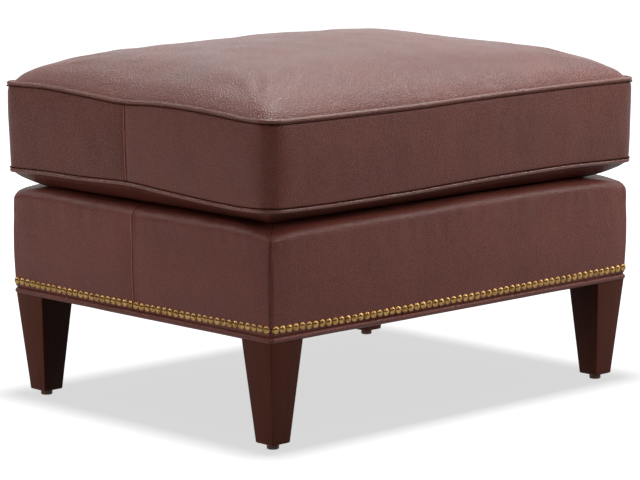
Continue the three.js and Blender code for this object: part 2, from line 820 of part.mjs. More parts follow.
// The part of a cushion loop in front of the seams on the short sides, or behind them
function loopBetweenSeams(inset, front) {
  const half = seatingGap / 2;
  const seamY = boxingSeamY + (front ? -half : half);
  const loop = cushionLoop(inset);
  const kept = loop.map((place) => (front ? place.y < seamY - half : place.y > seamY + half));
  const start = kept.findIndex((keep, i) => keep && !kept[(i + loop.length - 1) % loop.length]);
  const part = loop.map((_, i) => (start + i) % loop.length).filter((i) => kept[i]).map((i) => loop[i]);
  const seamX = sideReach(cushionHalfX, cushionHalfY, seamY, inset);
  const rightSeam = new THREE.Vector2(seamX, seamY);
  const leftSeam = new THREE.Vector2(-seamX, seamY);
  return front ? [leftSeam, ...part, rightSeam] : [rightSeam, ...part, leftSeam];
}

function boxingGeometry(front) {
  const heights = Array.from({ length: boxingRows + 1 }, (_, row) => (
    boxingBottomZ + (row / boxingRows) * boxingHeight
  ));
  const outer = heights.map((z) => new THREE.Vector2(boxingInset(z), z));
  const inner = heights.map((z) => new THREE.Vector2(boxingInset(z) + leatherThickness, z));
  const section = [...outer, ...inner.reverse()];
  const loops = section.map((point) => loopBetweenSeams(point.x, front));
  const rows = loops[0].map((_, column) => section.map((point, k) => (
    new THREE.Vector3(loops[k][column].x, loops[k][column].y, point.y)
  )));
  return bodyFromRows(rows, { capFaces: capOf(section) });
}

const zipFaceInset = boxingInset(boxingMiddleZ) + zipRecess;
const coreExtraInset = zipRecess + zipTapeThickness + seatingGap;
const zipSlotDepth = 2 * (boxingSetback + cushionDrawIn + leatherThickness + cutOverrun);
const zipSlot = box(zipLength, zipSlotDepth, zipSlotHeight, 0, cushionHalfY, boxingMiddleZ);

addPiece('boxing_front', boxingGeometry(true), leatherColour, 0.5);
addPiece('boxing_back', cut(boxingGeometry(false), zipSlot), leatherColour, 0.5);

// Foam core, inside the leather all round

const coreRows = [
  ...bellyLoops(leatherThickness + seatingGap).slice(1).reverse(),
  ...[0, 0.5, 1].map((share) => {
    const inset = boxingInset(boxingBottomZ + share * boxingHeight) + coreExtraInset;
    const z = boxingBottomZ + cushionWeltRadius + share * (boxingHeight - 2 * cushionWeltRadius);
    return cushionLoop(inset).map((place) => new THREE.Vector3(place.x, place.y, z));
  }),
  ...crownLoops(leatherThickness + seatingGap).slice(1),
];
const coreApexes = [bellyApex(leatherThickness + seatingGap), crownApex(leatherThickness + seatingGap)];
addPiece('cushion_core', bodyFromRows(coreRows, { apexes: coreApexes }), foamColour, 0.9);

// Welts round the cushion's two edges

for (const [name, z] of [['cushion_welt_upper', upperWeltZ], ['cushion_welt_lower', lowerWeltZ]]) {
  const path = cushionLoop(cushionWeltRadius).map((place) => new THREE.Vector3(place.x, place.y, z));
  addPiece(name, tubeAlong(path, cushionWeltRadius, weltSides, true), leatherColour, 0.45);
}

// Zip chain: tape with a raised row of teeth, in the slot of the back boxing

function zipChainGeometry() {
  const halfTape = zipSlotHeight / 2 - seatingGap;
  const halfTeeth = zipTeethHeight / 2;
  const section = [
    [0, -halfTape],
    [0, -halfTeeth],
    [-zipTeethRise, -halfTeeth],
    [-zipTeethRise, halfTeeth],
    [0, halfTeeth],
    [0, halfTape],
    [zipTapeThickness, halfTape],
    [zipTapeThickness, -halfTape],
  ].map(([inwards, up]) => new THREE.Vector2(inwards, up));
  const rows = Array.from({ length: zipColumns + 1 }, (_, column) => {
    const x = (column / zipColumns - 0.5) * (zipLength - 2 * seatingGap);
    return section.map((point) => new THREE.Vector3(
      x,
      sideReach(cushionHalfY, cushionHalfX, x, zipFaceInset + point.x),
      boxingMiddleZ + point.y,
    ));
  });
  return bodyFromRows(rows, { capFaces: capOf(section) });
}

addPiece('zip_chain', zipChainGeometry(), zipColour, 0.6);

// Slider: a plate over the teeth, with a bridge that holds the pull's crossbar

const sliderX = zipLength / 2 - zipEndMargin;
const sliderFaceY = sideReach(cushionHalfY, cushionHalfX, sliderX, zipFaceInset) + zipTeethRise + seatingGap;
const bridgeTopY = sliderPlate + bridgeClear + bridgeGauge;
const crossbarY = sliderPlate + bridgeClear / 2;

function sliderGeometry() {
  const half = sliderLength / 2;
  const plate = box(sliderLength, sliderPlate, sliderWidth, 0, sliderPlate / 2, 0);
  const arch = [
    [-half, 0],
    [half, 0],
    [half, bridgeTopY],
    [-half, bridgeTopY],
  ].map(([x, y]) => new THREE.Vector2(x, y));
  const clearSpan = [
    [bridgeGauge - half, sliderPlate],
    [half - bridgeGauge, sliderPlate],
    [half - bridgeGauge, sliderPlate + bridgeClear],
    [bridgeGauge - half, sliderPlate + bridgeClear],
  ].map(([x, y]) => new THREE.Vector2(x, y));
  const bridge = extrude(arch, bridgeWidth, [clearSpan]).translate(0, 0, -bridgeWidth / 2);
  return toGeometry(toSolid(plate).add(toSolid(bridge)));
}

addPiece('zip_slider', sliderGeometry(), brassColour, 0.35, 1)
  .position.set(sliderX, sliderFaceY, boxingMiddleZ);

// Pull: a flat tab whose eye goes round the bridge, with the crossbar on the turning axis

function pullGeometry() {
  const rectangle = (fromX, toX, width) => [
    [fromX, -width / 2],
    [toX, -width / 2],
    [toX, width / 2],
    [fromX, width / 2],
  ].map(([x, y]) => new THREE.Vector2(x, y));
  const barHalf = pullRimWidth / 2;
  const outline = rectangle(-pullLength, barHalf, pullWidth);
  const eye = rectangle(-barHalf - pullEyeLength, -barHalf, pullEyeWidth);
  return extrude(outline, pullGauge, [eye]).translate(0, 0, -pullGauge / 2).rotateX(quarterTurn);
}

addPiece('zip_pull', pullGeometry(), brassColour, 0.35, 1)
  .position.set(sliderX, sliderFaceY + crossbarY, boxingMiddleZ);

export default stool;
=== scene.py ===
import math
import random

import bmesh
import bpy
from mathutils import Matrix, Vector, noise
from mathutils.bvhtree import BVHTree


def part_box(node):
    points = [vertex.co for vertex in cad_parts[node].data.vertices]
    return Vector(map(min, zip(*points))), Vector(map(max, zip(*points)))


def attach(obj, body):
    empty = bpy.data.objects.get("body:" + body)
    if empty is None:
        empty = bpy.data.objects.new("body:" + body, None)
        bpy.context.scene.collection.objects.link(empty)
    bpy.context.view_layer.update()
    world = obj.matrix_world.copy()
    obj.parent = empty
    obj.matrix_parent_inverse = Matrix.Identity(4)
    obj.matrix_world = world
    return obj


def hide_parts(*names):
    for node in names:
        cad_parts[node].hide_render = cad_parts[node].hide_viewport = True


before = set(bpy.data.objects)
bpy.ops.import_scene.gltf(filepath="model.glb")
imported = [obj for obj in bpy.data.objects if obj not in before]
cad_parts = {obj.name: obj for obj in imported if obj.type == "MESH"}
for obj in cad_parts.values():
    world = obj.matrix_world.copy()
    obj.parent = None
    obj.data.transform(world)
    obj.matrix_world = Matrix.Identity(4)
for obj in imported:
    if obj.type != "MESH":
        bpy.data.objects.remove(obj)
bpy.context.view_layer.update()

scene = bpy.context.scene
scene.view_settings.view_transform = "Standard"

# Sizes and places in metres, as in the frame. X runs along the long side, the front is at -Y.

BASE_HALF_X, BASE_HALF_Y = 0.340, 0.260
COVER_BOTTOM_Z, DECK_Z = 0.1507, 0.2870
COVER_ROLL, COVER_CORNER, DECK_BORDER = 0.014, 0.0032, 0.060
COVER_SEAM_Y = 0.006
LEATHER, PADDING, PADDING_REACH, PADDING_GAP, PADDING_TRIM = 0.0014, 0.0052, 0.0200, 0.0004, 0.0035
DECK_CLOTH, CAMBRIC, ZIP_TAPE = 0.0011, 0.0006, 0.0009
BASE_WELT_Z, BASE_WELT_RADIUS, BASE_WELT_INSET, BASE_WELT_CORNER = 0.1469, 0.0041, 0.0017, 0.0035
NAIL_Z, NAIL_RADIUS, NAIL_CROWN, NAIL_SEAT = 0.1629, 0.0055, 0.0032, 0.0014
LONG_SIDE_NAILS, SHORT_SIDE_NAILS, CORNER_NAIL_SHARE = 59, 45, 0.6
NAIL_WANDER, NAIL_RISE, NAIL_TILT = 0.00012, 0.00025, 0.07
STAPLE_PITCH, STAPLE_INSET, STAPLE_FROM_CORNER = 0.055, 0.008, 0.07
CUSHION_HALF_X, CUSHION_HALF_Y = 0.350, 0.270
CUSHION_RADII = {"front_right": 0.0165, "back_right": 0.018, "back_left": 0.0165, "front_left": 0.025}
CUSHION_DRAW_IN, SEAM_INSET, LOWER_TAPER = 0.002, 0.0012, 0.0016
DRAWN_HALF_X, DRAWN_HALF_Y, BOXING_STRIP = 0.332, 0.252, 0.012
UPPER_SEAM_Z, LOWER_SEAM_Z, BELLY_Z = 0.426, 0.311, 0.2873
CUSHION_WELT_RADIUS, WELT_SEAT, BOXING_SEAM_Y = 0.0031, 0.0009, 0.014
THREAD_RADIUS, THREAD_INSET, THREAD_DROP = 0.0008, 0.0012, 0.0036
FILLING_PRESSURE, FILLING_MOST = 4, 0.002
ZIP_Z, ZIP_LENGTH, ZIP_SLOT, ZIP_SINK, ZIP_SLOT_DEPTH = 0.3685, 0.470, 0.012, 0.0024, 0.0014
LAP_LIFT, MERGE_DISTANCE = 0.0002, 1e-6
CORNERS = {
    "front_left": (-1, -1),
    "front_right": (1, -1),
    "back_right": (1, 1),
    "back_left": (-1, 1),
}


# Bench tools


def between(low, high, share):
    """Eases a share of the way from low to high into a value between them."""
    share = min(max(share, 0), 1)
    return low + (high - low) * share * share * (3 - 2 * share)


def along(line, place):
    """The height of a line of (place, height) points at a place, with its bends rounded."""
    total = 0
    shifts = (-0.024, -0.012, 0, 0.012, 0.024)
    for shift in shifts:
        here = place + shift
        value = line[0][1] if here <= line[0][0] else line[-1][1]
        for (a, low), (b, high) in zip(line, line[1:]):
            if a < here <= b:
                value = low + (high - low) * (here - a) / (b - a)
        total += value
    return total / len(shifts)


def edge_lines(half_x, half_y, front, left, back, right):
    """Gives a function for the height of a rounded rectangle at a place in plan, from a line along each side.
    Each line is worked out once, every 2 mm or so."""
    halves = (half_x, half_y, half_x, half_y)
    tables = []
    for line, half in zip((front, left, back, right), halves):
        count = round(2 * half / 0.002)
        tables.append([along(line, -half + 2 * half * i / count) for i in range(count + 1)])

    def height(x, y):
        gaps = (half_y + y, half_x + x, half_y - y, half_x - x)
        value = total = 0
        for table, gap, place, half in zip(tables, gaps, (x, y, x, y), halves):
            weight = 1 / (max(gap, 0) + 0.006) ** 2
            index = min(max(round((place + half) / (2 * half) * (len(table) - 1)), 0), len(table) - 1)
            value += weight * table[index]
            total += weight
        return value / total

    return height


def only(piece):
    bpy.ops.object.select_all(action="DESELECT")
    piece.select_set(True)
    bpy.context.view_layer.objects.active = piece


def primitive(name, adder, **settings):
    """Adds one of Blender's own shapes, and puts its place and size into its mesh."""
    bpy.ops.object.select_all(action="DESELECT")
    adder(**settings)
    piece = bpy.context.object
    piece.name = piece.data.name = name
    only(piece)
    bpy.ops.object.transform_apply(location=True, rotation=True, scale=True)
    return piece


def block(name, low, high):
    low, high = Vector(low), Vector(high)
    return primitive(name, bpy.ops.mesh.primitive_cube_add, size=1, location=(low + high) / 2,
                     scale=high - low)


def open_edit(piece, kind="FACE", whole=False):
    """Opens a piece in edit mode, with all of it selected or nothing."""
    only(piece)
    bpy.ops.object.mode_set(mode="EDIT")
    bpy.ops.mesh.select_mode(type=kind)
    bpy.ops.mesh.select_all(action="SELECT" if whole else "DESELECT")


def close_edit():
    bpy.ops.object.mode_set(mode="OBJECT")


def pick(piece, kind, wanted):
    """Selects the faces or edges that wanted says yes to, and nothing else."""
    shape = bmesh.from_edit_mesh(piece.data)
    bpy.ops.mesh.select_all(action="DESELECT")
    for part in list(getattr(shape, kind)):
        if wanted(part):
            part.select_set(True)
    shape.select_flush_mode()
    bmesh.update_edit_mesh(piece.data)


def middle(edge):
    return (edge.verts[0].co + edge.verts[1].co) / 2


def upright(edge):
    across = edge.verts[0].co - edge.verts[1].co
    return abs(across.z) > 0.9 * across.length


def modify(piece, kind, **settings):
    """Adds a modifier with its settings and applies it."""
    only(piece)
    modifier = piece.modifiers.new(kind.lower(), kind)
    for key, value in settings.items():
        setattr(modifier, key, value)
    bpy.ops.object.modifier_apply(modifier=modifier.name)


def reshape(piece, move):
    """Moves every vertex to where move says."""
    for vertex in piece.data.vertices:
        vertex.co = move(vertex.co.copy())
    piece.data.update()


def smooth(piece, angle=None):
    only(piece)
    if angle is None:
        bpy.ops.object.shade_smooth()
    else:
        bpy.ops.object.shade_smooth_by_angle(angle=math.radians(angle))


def face_outwards(piece):
    open_edit(piece, whole=True)
    bpy.ops.mesh.remove_doubles(threshold=MERGE_DISTANCE)
    bpy.ops.mesh.normals_make_consistent(inside=False)
    close_edit()


def copy_of(piece, name):
    made = piece.copy()
    made.data = piece.data.copy()
    made.name = made.data.name = name
    scene.collection.objects.link(made)
    return made


def joined(pieces, name):
    bpy.ops.object.select_all(action="DESELECT")
    for piece in pieces:
        piece.select_set(True)
    bpy.context.view_layer.objects.active = pieces[0]
    bpy.ops.object.join()
    pieces[0].name = pieces[0].data.name = name
    return pieces[0]


def finished(piece, body, slot, *stands_for):
    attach(piece, body)
    if stands_for:
        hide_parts(*stands_for)


def piping(name, path, radius, sides=10, closed=True):
    """A tube along a path, as a leather-covered cord lies in its seam."""
    curve = bpy.data.curves.new(name, "CURVE")
    curve.dimensions = "3D"
    curve.bevel_depth = radius
    curve.bevel_resolution = sides // 2 - 2
    spline = curve.splines.new("POLY")
    spline.points.add(len(path) - 1)
    for point, place in zip(spline.points, path):
        point.co = (*place, 1)
    spline.use_cyclic_u = closed
    curve.use_fill_caps = not closed
    tube = bpy.data.objects.new(name, curve)
    scene.collection.objects.link(tube)
    only(tube)
    bpy.ops.object.convert(target="MESH")
    tube = bpy.context.object
    tube.name = tube.data.name = name
    face_outwards(tube)
    smooth(tube)
    return tube


# Finishes


def linear(value):
    """An sRGB hex colour as Blender's linear colour."""
    shares = [int(value[i:i + 2], 16) / 255 for i in (1, 3, 5)]
    return tuple(
        s / 12.92 if s <= 0.04045 else ((s + 0.055) / 1.055) ** 2.4 for s in shares
    ) + (1,)


def feed(material, node, **values):
    """Gives a node's inputs their values: numbers, colours or other nodes' outputs. _0 is its first input."""
    for key, value in values.items():
        socket = node.inputs[int(key[1:])] if key[1:].isdigit() else node.inputs[key.replace("_", " ")]
        if isinstance(value, bpy.types.NodeSocket):
            material.node_tree.links.new(value, socket)
        else:
            socket.default_value = value
    return node


def add(material, kind, settings=None, **values):
    """Adds a node with its settings and feeds its inputs."""
    made = material.node_tree.nodes.new("ShaderNode" + kind)
    for key, value in (settings or {}).items():
        setattr(made, key, value)
    return feed(material, made, **values)


def finish(name, **shader):
    """A material with its Principled shader set up, and the place of a surface point on the object."""
    material = bpy.data.materials.new(name)
    material.use_nodes = True
    surface = feed(material, material.node_tree.nodes["Principled BSDF"], **shader)
    return material, surface, add(material, "TexCoord").outputs["Object"]


def colours(material, factor, *stops):
    """A colour ramp through (place, hex colour) stops."""
    ramp = add(material, "ValToRGB", Fac=factor)
    elements = ramp.color_ramp.elements
    while len(elements) < len(stops):
        elements.new(0.5)
    for element, (place, colour) in zip(elements, stops):
        element.position = place
        element.color = linear(colour)
    return ramp.outputs["Color"]


def leather(name, crease, grain_colour, pebble, depth, rough, coat):
    """Full-grain upholstery leather, embossed and finished with a satin top coat. Pebbles of the grain stand
    between darker creases, which are painted shade, the hide's tone drifts over a hand's width, and the coat
    gives a soft grey sheen.
    The pebbles are 2 to 4 mm wide, coarser than on most hides, so that they show from a step away. Their rows
    wander every 4 mm."""
    material, surface, place = finish(name, IOR=1.45, Specular_IOR_Level=coat)
    drift = add(material, "TexNoise", None, Vector=place, Scale=260.0, Detail=2.0)
    bent = add(material, "VectorMath", {"operation": "MULTIPLY_ADD"},
               _0=drift.outputs["Color"], _1=(0.0016, 0.0016, 0.0016), _2=place)
    pebbles = add(material, "TexVoronoi", {"feature": "DISTANCE_TO_EDGE"},
                  Vector=bent.outputs[0], Scale=1 / pebble)
    domes = add(material, "MapRange", {"interpolation_type": "SMOOTHSTEP"},
                Value=pebbles.outputs["Distance"], From_Max=0.32)
    pores = add(material, "TexNoise", None, Vector=place, Scale=1 / 0.0011, Detail=2.0)
    hand = add(material, "TexNoise", None, Vector=place, Scale=1 / 0.09, Detail=4.0, Roughness=0.6)
    soft = add(material, "TexNoise", None, Vector=place, Scale=1 / 0.022, Detail=3.0)
    relief = add(material, "Math", {"operation": "MULTIPLY_ADD"},
                 _0=pores.outputs["Fac"], _1=0.45, _2=domes.outputs["Result"])
    low = add(material, "Bump", None, Height=soft.outputs["Fac"], Strength=1.0, Distance=0.0007)
    fine = add(material, "Bump", None, Height=relief.outputs[0], Strength=1.0, Distance=depth,
               Normal=low.outputs[0])
    hide = colours(material, hand.outputs["Fac"], (0.3, crease), (0.68, grain_colour))
    # painted shade and light: the colour darkens in the creases between the pebbles and lightens a little on
    # their tops, over the bump's own shading
    shade = add(material, "MapRange", None, Value=domes.outputs["Result"], To_Min=0.76, To_Max=1.04)
    tone = add(material, "MixRGB", {"blend_type": "MULTIPLY"},
               Fac=1.0, Color1=hide, Color2=shade.outputs[0])
    worn = add(material, "MapRange", None, Value=hand.outputs["Fac"], From_Min=0.3, From_Max=0.7,
               To_Min=rough - 0.04, To_Max=rough + 0.05)
    feed(material, surface, Base_Color=tone.outputs[0], Roughness=worn.outputs[0], Normal=fine.outputs[0])
    return material


def wood(name, light, dark, rough, along_axis=2):
    """Straight-grained hardwood. Long fibres run along the piece and darker bands lie between them. They are
    drawn coarse, to show: the fibres 4 mm wide and 110 mm long, the bands 30 mm wide and 450 mm long."""
    material, surface, place = finish(name, IOR=1.45, Specular_IOR_Level=0.12)
    grain = []
    for across, lengthways, detail, coarse in ((260.0, 9.0, 5.0, 0.6), (34.0, 2.2, 2.0, 0.5)):
        stretch = [across] * 3
        stretch[along_axis] = lengthways
        drawn_out = add(material, "Mapping", None, Vector=place, Scale=stretch)
        streaks = add(material, "TexNoise", None, Vector=drawn_out.outputs[0], Scale=1.0, Detail=detail,
                      Roughness=coarse)
        grain.append(streaks.outputs["Fac"])
    fibres, bands = grain
    both = add(material, "Math", {"operation": "MULTIPLY_ADD"}, _0=fibres, _1=0.5, _2=bands)
    tone = colours(material, both.outputs[0], (0.5, dark), (1.0, light))
    relief = add(material, "Bump", None, Height=fibres, Strength=0.35, Distance=0.0002)
    worn = add(material, "MapRange", None, Value=bands, To_Min=rough - 0.05, To_Max=rough + 0.08)
    feed(material, surface, Base_Color=tone, Roughness=worn.outputs[0], Normal=relief.outputs[0])
    return material


def metal(name, bright, dull, rough, patch):
    """Plated steel or brass. Patches of tarnish darken and dull it, and fine scratches break up the shine."""
    material, surface, place = finish(name, Metallic=1.0)
    tarnish = add(material, "TexNoise", None, Vector=place, Scale=1 / patch, Detail=4.0, Roughness=0.65)
    scratches = add(material, "TexNoise", None, Vector=place, Scale=1 / 0.0006, Detail=2.0)
    tone = colours(material, tarnish.outputs["Fac"], (0.35, dull), (0.62, bright))
    worn = add(material, "MapRange", None, Value=tarnish.outputs["Fac"], From_Min=0.3, From_Max=0.7,
               To_Min=rough + 0.12, To_Max=rough)
    relief = add(material, "Bump", None, Height=scratches.outputs["Fac"], Strength=0.25, Distance=0.00005)
    feed(material, surface, Base_Color=tone, Roughness=worn.outputs[0], Normal=relief.outputs[0])
    return material


def woven(name, thread_colour, gap_colour, pitch, sheen=0.15, gloss=0.5):
    """Plain-woven cloth. Threads cross over and under, with darker gaps between them. They lie 0.63 of the
    pitch apart, because a wave texture repeats every 0.314 of its scaled place."""
    material, surface, place = finish(
        name, IOR=1.5, Roughness=0.9, Sheen_Weight=sheen, Specular_IOR_Level=gloss)
    warp, weft = (
        add(material, "TexWave", {"bands_direction": axis}, Vector=place, Scale=0.5 / pitch, Distortion=0.4,
            Detail=1.0).outputs["Fac"] for axis in "XY")
    threads = add(material, "Math", {"operation": "MAXIMUM"}, _0=warp, _1=weft)
    slub = add(material, "TexNoise", None, Vector=place, Scale=1 / 0.012, Detail=3.0)
    mixed = add(material, "Math", {"operation": "MULTIPLY"}, _0=threads.outputs[0], _1=slub.outputs["Fac"])
    tone = colours(material, mixed.outputs[0], (0.1, gap_colour), (0.6, thread_colour))
    relief = add(material, "Bump", None, Height=threads.outputs[0], Strength=0.8, Distance=0.0003)
    feed(material, surface, Base_Color=tone, Normal=relief.outputs[0])
    return material


def fibrous(name, light, dark, cell, depth):
    """Foam, wadding or felt: a soft matt mass of cells or fibres with small hollows."""
    material, surface, place = finish(name, IOR=1.45, Roughness=0.95)
    cells = add(material, "TexNoise", None, Vector=place, Scale=1 / cell, Detail=5.0, Roughness=0.7)
    tone = colours(material, cells.outputs["Fac"], (0.3, dark), (0.62, light))
    relief = add(material, "Bump", None, Height=cells.outputs["Fac"], Strength=0.9, Distance=depth)
    feed(material, surface, Base_Color=tone, Normal=relief.outputs[0])
    return material


def moulded(name, colour, dark, rough):
    """Moulded nylon, with a faint mottle and the fine spark finish of its mould."""
    material, surface, place = finish(name, IOR=1.53, Roughness=rough)
    mottle = add(material, "TexNoise", None, Vector=place, Scale=1 / 0.004, Detail=3.0)
    spark = add(material, "TexNoise", None, Vector=place, Scale=1 / 0.0004, Detail=1.0)
    tone = colours(material, mottle.outputs["Fac"], (0.3, dark), (0.7, colour))
    relief = add(material, "Bump", None, Height=spark.outputs["Fac"], Strength=0.3, Distance=0.00008)
    feed(material, surface, Base_Color=tone, Normal=relief.outputs[0])
    return material


# the top panel's hide is a little lighter than the sides': partly its own tone, partly painted light standing
# in for the light that falls on the top
top_leather = leather("embossed_leather_top", "#5f2e26", "#6b372e", 0.0036, 0.00046, 0.325, 0.5)
boxing_leather = leather("embossed_leather_boxing", "#5a2e26", "#63342b", 0.0030, 0.00026, 0.36, 0.36)
coarse_leather = leather("embossed_leather_coarse", "#562b23", "#60342b", 0.0038, 0.00036, 0.36, 0.31)
base_leather = leather("embossed_leather_base", "#5b2e26", "#65352d", 0.0030, 0.00020, 0.36, 0.36)
welt_leather = leather("skived_leather_welt", "#5a2d23", "#6a392d", 0.0022, 0.00012, 0.27, 0.65)
# the folded edges at the laps are dressed lighter: a painted highlight, where a fold's edge catches the light
fold_leather_painted_highlight = leather("worn_leather_fold", "#84503f", "#935c49", 0.0022, 0.00010, 0.34, 0.40)
leg_wood = wood("espresso_stained_maple", "#48251c", "#3a1b12", 0.48)
rail_wood = wood("sawn_rubberwood", "#cfae7d", "#a98553", 0.72, along_axis=0)
side_rail_wood = wood("sawn_rubberwood_side", "#cfae7d", "#a98553", 0.72, along_axis=1)
block_wood = wood("sawn_poplar_block", "#c9b184", "#a58a5c", 0.75)
nail_brass = metal("antiqued_brass_plate", "#d6ac6d", "#8d6838", 0.24, 0.006)
zip_brass = metal("brass_zip", "#a5814a", "#745a31", 0.34, 0.004)
zinc_steel = metal("zinc_plated_steel", "#a9abad", "#7c7f82", 0.3, 0.02)
spring_steel = metal("oil_tempered_spring_steel", "#6d6e70", "#45464a", 0.38, 0.03)
seat_foam = fibrous("polyurethane_foam", "#eadfbd", "#cfc195", 0.0012, 0.0006)
wadding = fibrous("polyester_wadding", "#eceae4", "#cfccc4", 0.0035, 0.0012)
felt = fibrous("recycled_felt", "#8f887c", "#5f594f", 0.0022, 0.0008)
deck_weave = woven("platform_cloth", "#553d36", "#2b1d19", 0.0012)
dust_weave = woven("spunbonded_cambric", "#28282a", "#0f0f10", 0.0011)
tape_weave = woven("polyester_zip_tape", "#3b2823", "#1f1411", 0.0008)
glide_nylon = moulded("moulded_brown_nylon", "#52311f", "#3c2216", 0.42)
# dark thread in the welts' creases: partly real stitching, partly painted shade for the crease
seam_thread_and_shade = woven("bonded_nylon_thread", "#35180f", "#1c0c07", 0.0008, sheen=0.0, gloss=0.1)


def dress(material, *pieces):
    for piece in pieces:
        piece.data.materials.clear()
        piece.data.materials.append(material)


# Camera, floor and lamps

eye = bpy.data.cameras.new("photo_camera")
eye.lens, eye.sensor_width = 165.93, 36
camera = bpy.data.objects.new("photo_camera", eye)
scene.collection.objects.link(camera)
camera.matrix_world = Matrix((
    (0.723608, 0.112973, -0.680903, -2.8007),
    (-0.690203, 0.113806, -0.714610, -2.9323),
    (-0.003240, 0.987059, 0.160325, 0.8660),
    (0, 0, 0, 1),
))
scene.camera = camera

world = bpy.data.worlds.new("pale_studio")
scene.world = world
world.use_nodes = True
rays = add(world, "LightPath").outputs
seen = add(world, "Math", {"operation": "MAXIMUM"}, _0=rays["Is Camera Ray"], _1=rays["Is Glossy Ray"])
shown = add(world, "Math", {"operation": "MAXIMUM"}, _0=seen.outputs[0], _1=rays["Is Transmission Ray"])
level = add(world, "MapRange", None, Value=shown.outputs[0], To_Min=0.05, To_Max=1.0)
feed(world, world.node_tree.nodes["Background"], Color=(1, 1, 1, 1), Strength=level.outputs[0])

# Far off, the floor is as white as the sky. Near the stool it glows less, a painted shade that sets how grey
# the overhead softbox's shadow there is, and in reflections it glows less again, a painted darkening of the
# floor that the stool's lower sides reflect.
floor = primitive("floor", bpy.ops.mesh.primitive_plane_add, size=60)
floor_paint, floor_shader, floor_place = finish(
    "white_studio_floor", Roughness=1.0, Specular_IOR_Level=0.0, Emission_Color=(1, 1, 1, 1))
floor_rays = add(floor_paint, "LightPath").outputs
floor_reach = add(floor_paint, "VectorMath", {"operation": "LENGTH"}, _0=floor_place).outputs["Value"]
floor_white_and_painted_shadow = add(floor_paint, "MapRange", {"interpolation_type": "SMOOTHSTEP"}, Value=floor_reach,
                  From_Min=0.55, From_Max=1.3, To_Min=0.66, To_Max=1.0)
floor_mirrored_painted_shade = add(floor_paint, "MapRange", {"interpolation_type": "SMOOTHSTEP"}, Value=floor_reach,
                     From_Min=0.6, From_Max=2.2, To_Min=0.45)
floor_shown = add(floor_paint, "Math", {"operation": "MULTIPLY"},
                  _0=floor_rays["Is Camera Ray"], _1=floor_white_and_painted_shadow.outputs["Result"])
floor_glow = add(floor_paint, "Math", {"operation": "MULTIPLY_ADD"}, _0=floor_rays["Is Glossy Ray"],
                 _1=floor_mirrored_painted_shade.outputs["Result"], _2=floor_shown.outputs[0])
# the floor throws light back as a darker grey than it shows: a painted shade on the stool's lower sides
floor_tone_painted_bounce_shade = add(floor_paint, "MixRGB", None, Fac=floor_rays["Is Camera Ray"], Color1=linear("#8c8c8c"),
                 Color2=linear("#f2f2f2"))
feed(floor_paint, floor_shader, Base_Color=floor_tone_painted_bounce_shade.outputs[0], Emission_Strength=floor_glow.outputs[0])
dress(floor_paint, floor)


def softbox(name, place, width, height, power):
    """A rectangular lamp that is turned to the middle of the stool."""
    lamp = bpy.data.lights.new(name, "AREA")
    lamp.shape, lamp.size, lamp.size_y, lamp.energy = "RECTANGLE", width, height, power
    holder = bpy.data.objects.new(name, lamp)
    scene.collection.objects.link(holder)
    holder.location = place
    holder.rotation_euler = (Vector((0, 0, 0.3)) - Vector(place)).to_track_quat("-Z", "Y").to_euler()
    return holder


softbox("overhead_softbox", (-0.05, -0.08, 6.0), 1.0, 1.0, 180)
side_lamps = [
    softbox("far_softbox", (1.035, 1.086, 2.95), 1.2, 1.2, 28),
    softbox("right_softbox", (1.93, 0, 2.65), 1.2, 1.2, 20),
    softbox("front_strip", (2.4, -1.95, 2.0), 0.6, 1.0, 24),
    softbox("left_strip", (-1.75, 2.15, 1.75), 0.5, 0.9, 11),
    softbox("left_softbox", (-2.8, 0.7, 0.5), 1.6, 0.8, 50),
    softbox("front_softbox", (1.4, -2.6, 1.5), 1.6, 1.8, 84),
]
for side_box in side_lamps[-2:]:
    side_box.visible_glossy = False

# Flags keep the side lamps off the floor, so that only the overhead softbox casts a shadow there
flagged = bpy.data.collections.new("floor_flagged")
flagged.objects.link(floor)
flagged.collection_objects[0].light_linking.link_state = "EXCLUDE"
for lamp in side_lamps:
    lamp.light_linking.receiver_collection = flagged

# A dark curved card round the camera's side and a dark lid over the studio, seen only in reflections: they
# keep the near corner and the cushion's rounded edges dark
card = primitive("dark_card", bpy.ops.mesh.primitive_cylinder_add, vertices=72, radius=7, depth=8,
                 end_fill_type="NGON", location=(0, 0, 1))
CARD_MIDDLE, CARD_HALF_TURN = Vector((-0.855, -0.518)).normalized(), math.radians(111)
open_edit(card)
pick(card, "faces", lambda face: face.calc_center_median().to_2d().normalized().dot(
    CARD_MIDDLE) < math.cos(CARD_HALF_TURN))
bpy.ops.mesh.delete(type="FACE")
close_edit()
dress(finish("black_flock", Roughness=1.0, Base_Color=linear("#1a1a1a"))[0], card)
card.visible_camera = card.visible_diffuse = card.visible_shadow = card.visible_transmission = False


# Legs and glides

LEG_AXIS_X, LEG_AXIS_Y = 0.3112, 0.2312
LEG_BOTTOM_Z, LEG_TOP_Z, LEG_TOP, LEG_BOTTOM = 0.0073, 0.1453, 0.056, 0.031
LEG_FOOT_EASE, LEG_EDGE_EASE = 0.0028, 0.0009
GLIDE_RADIUS, GLIDE_HEIGHT, GLIDE_EASE = 0.008, 0.007, 0.0014

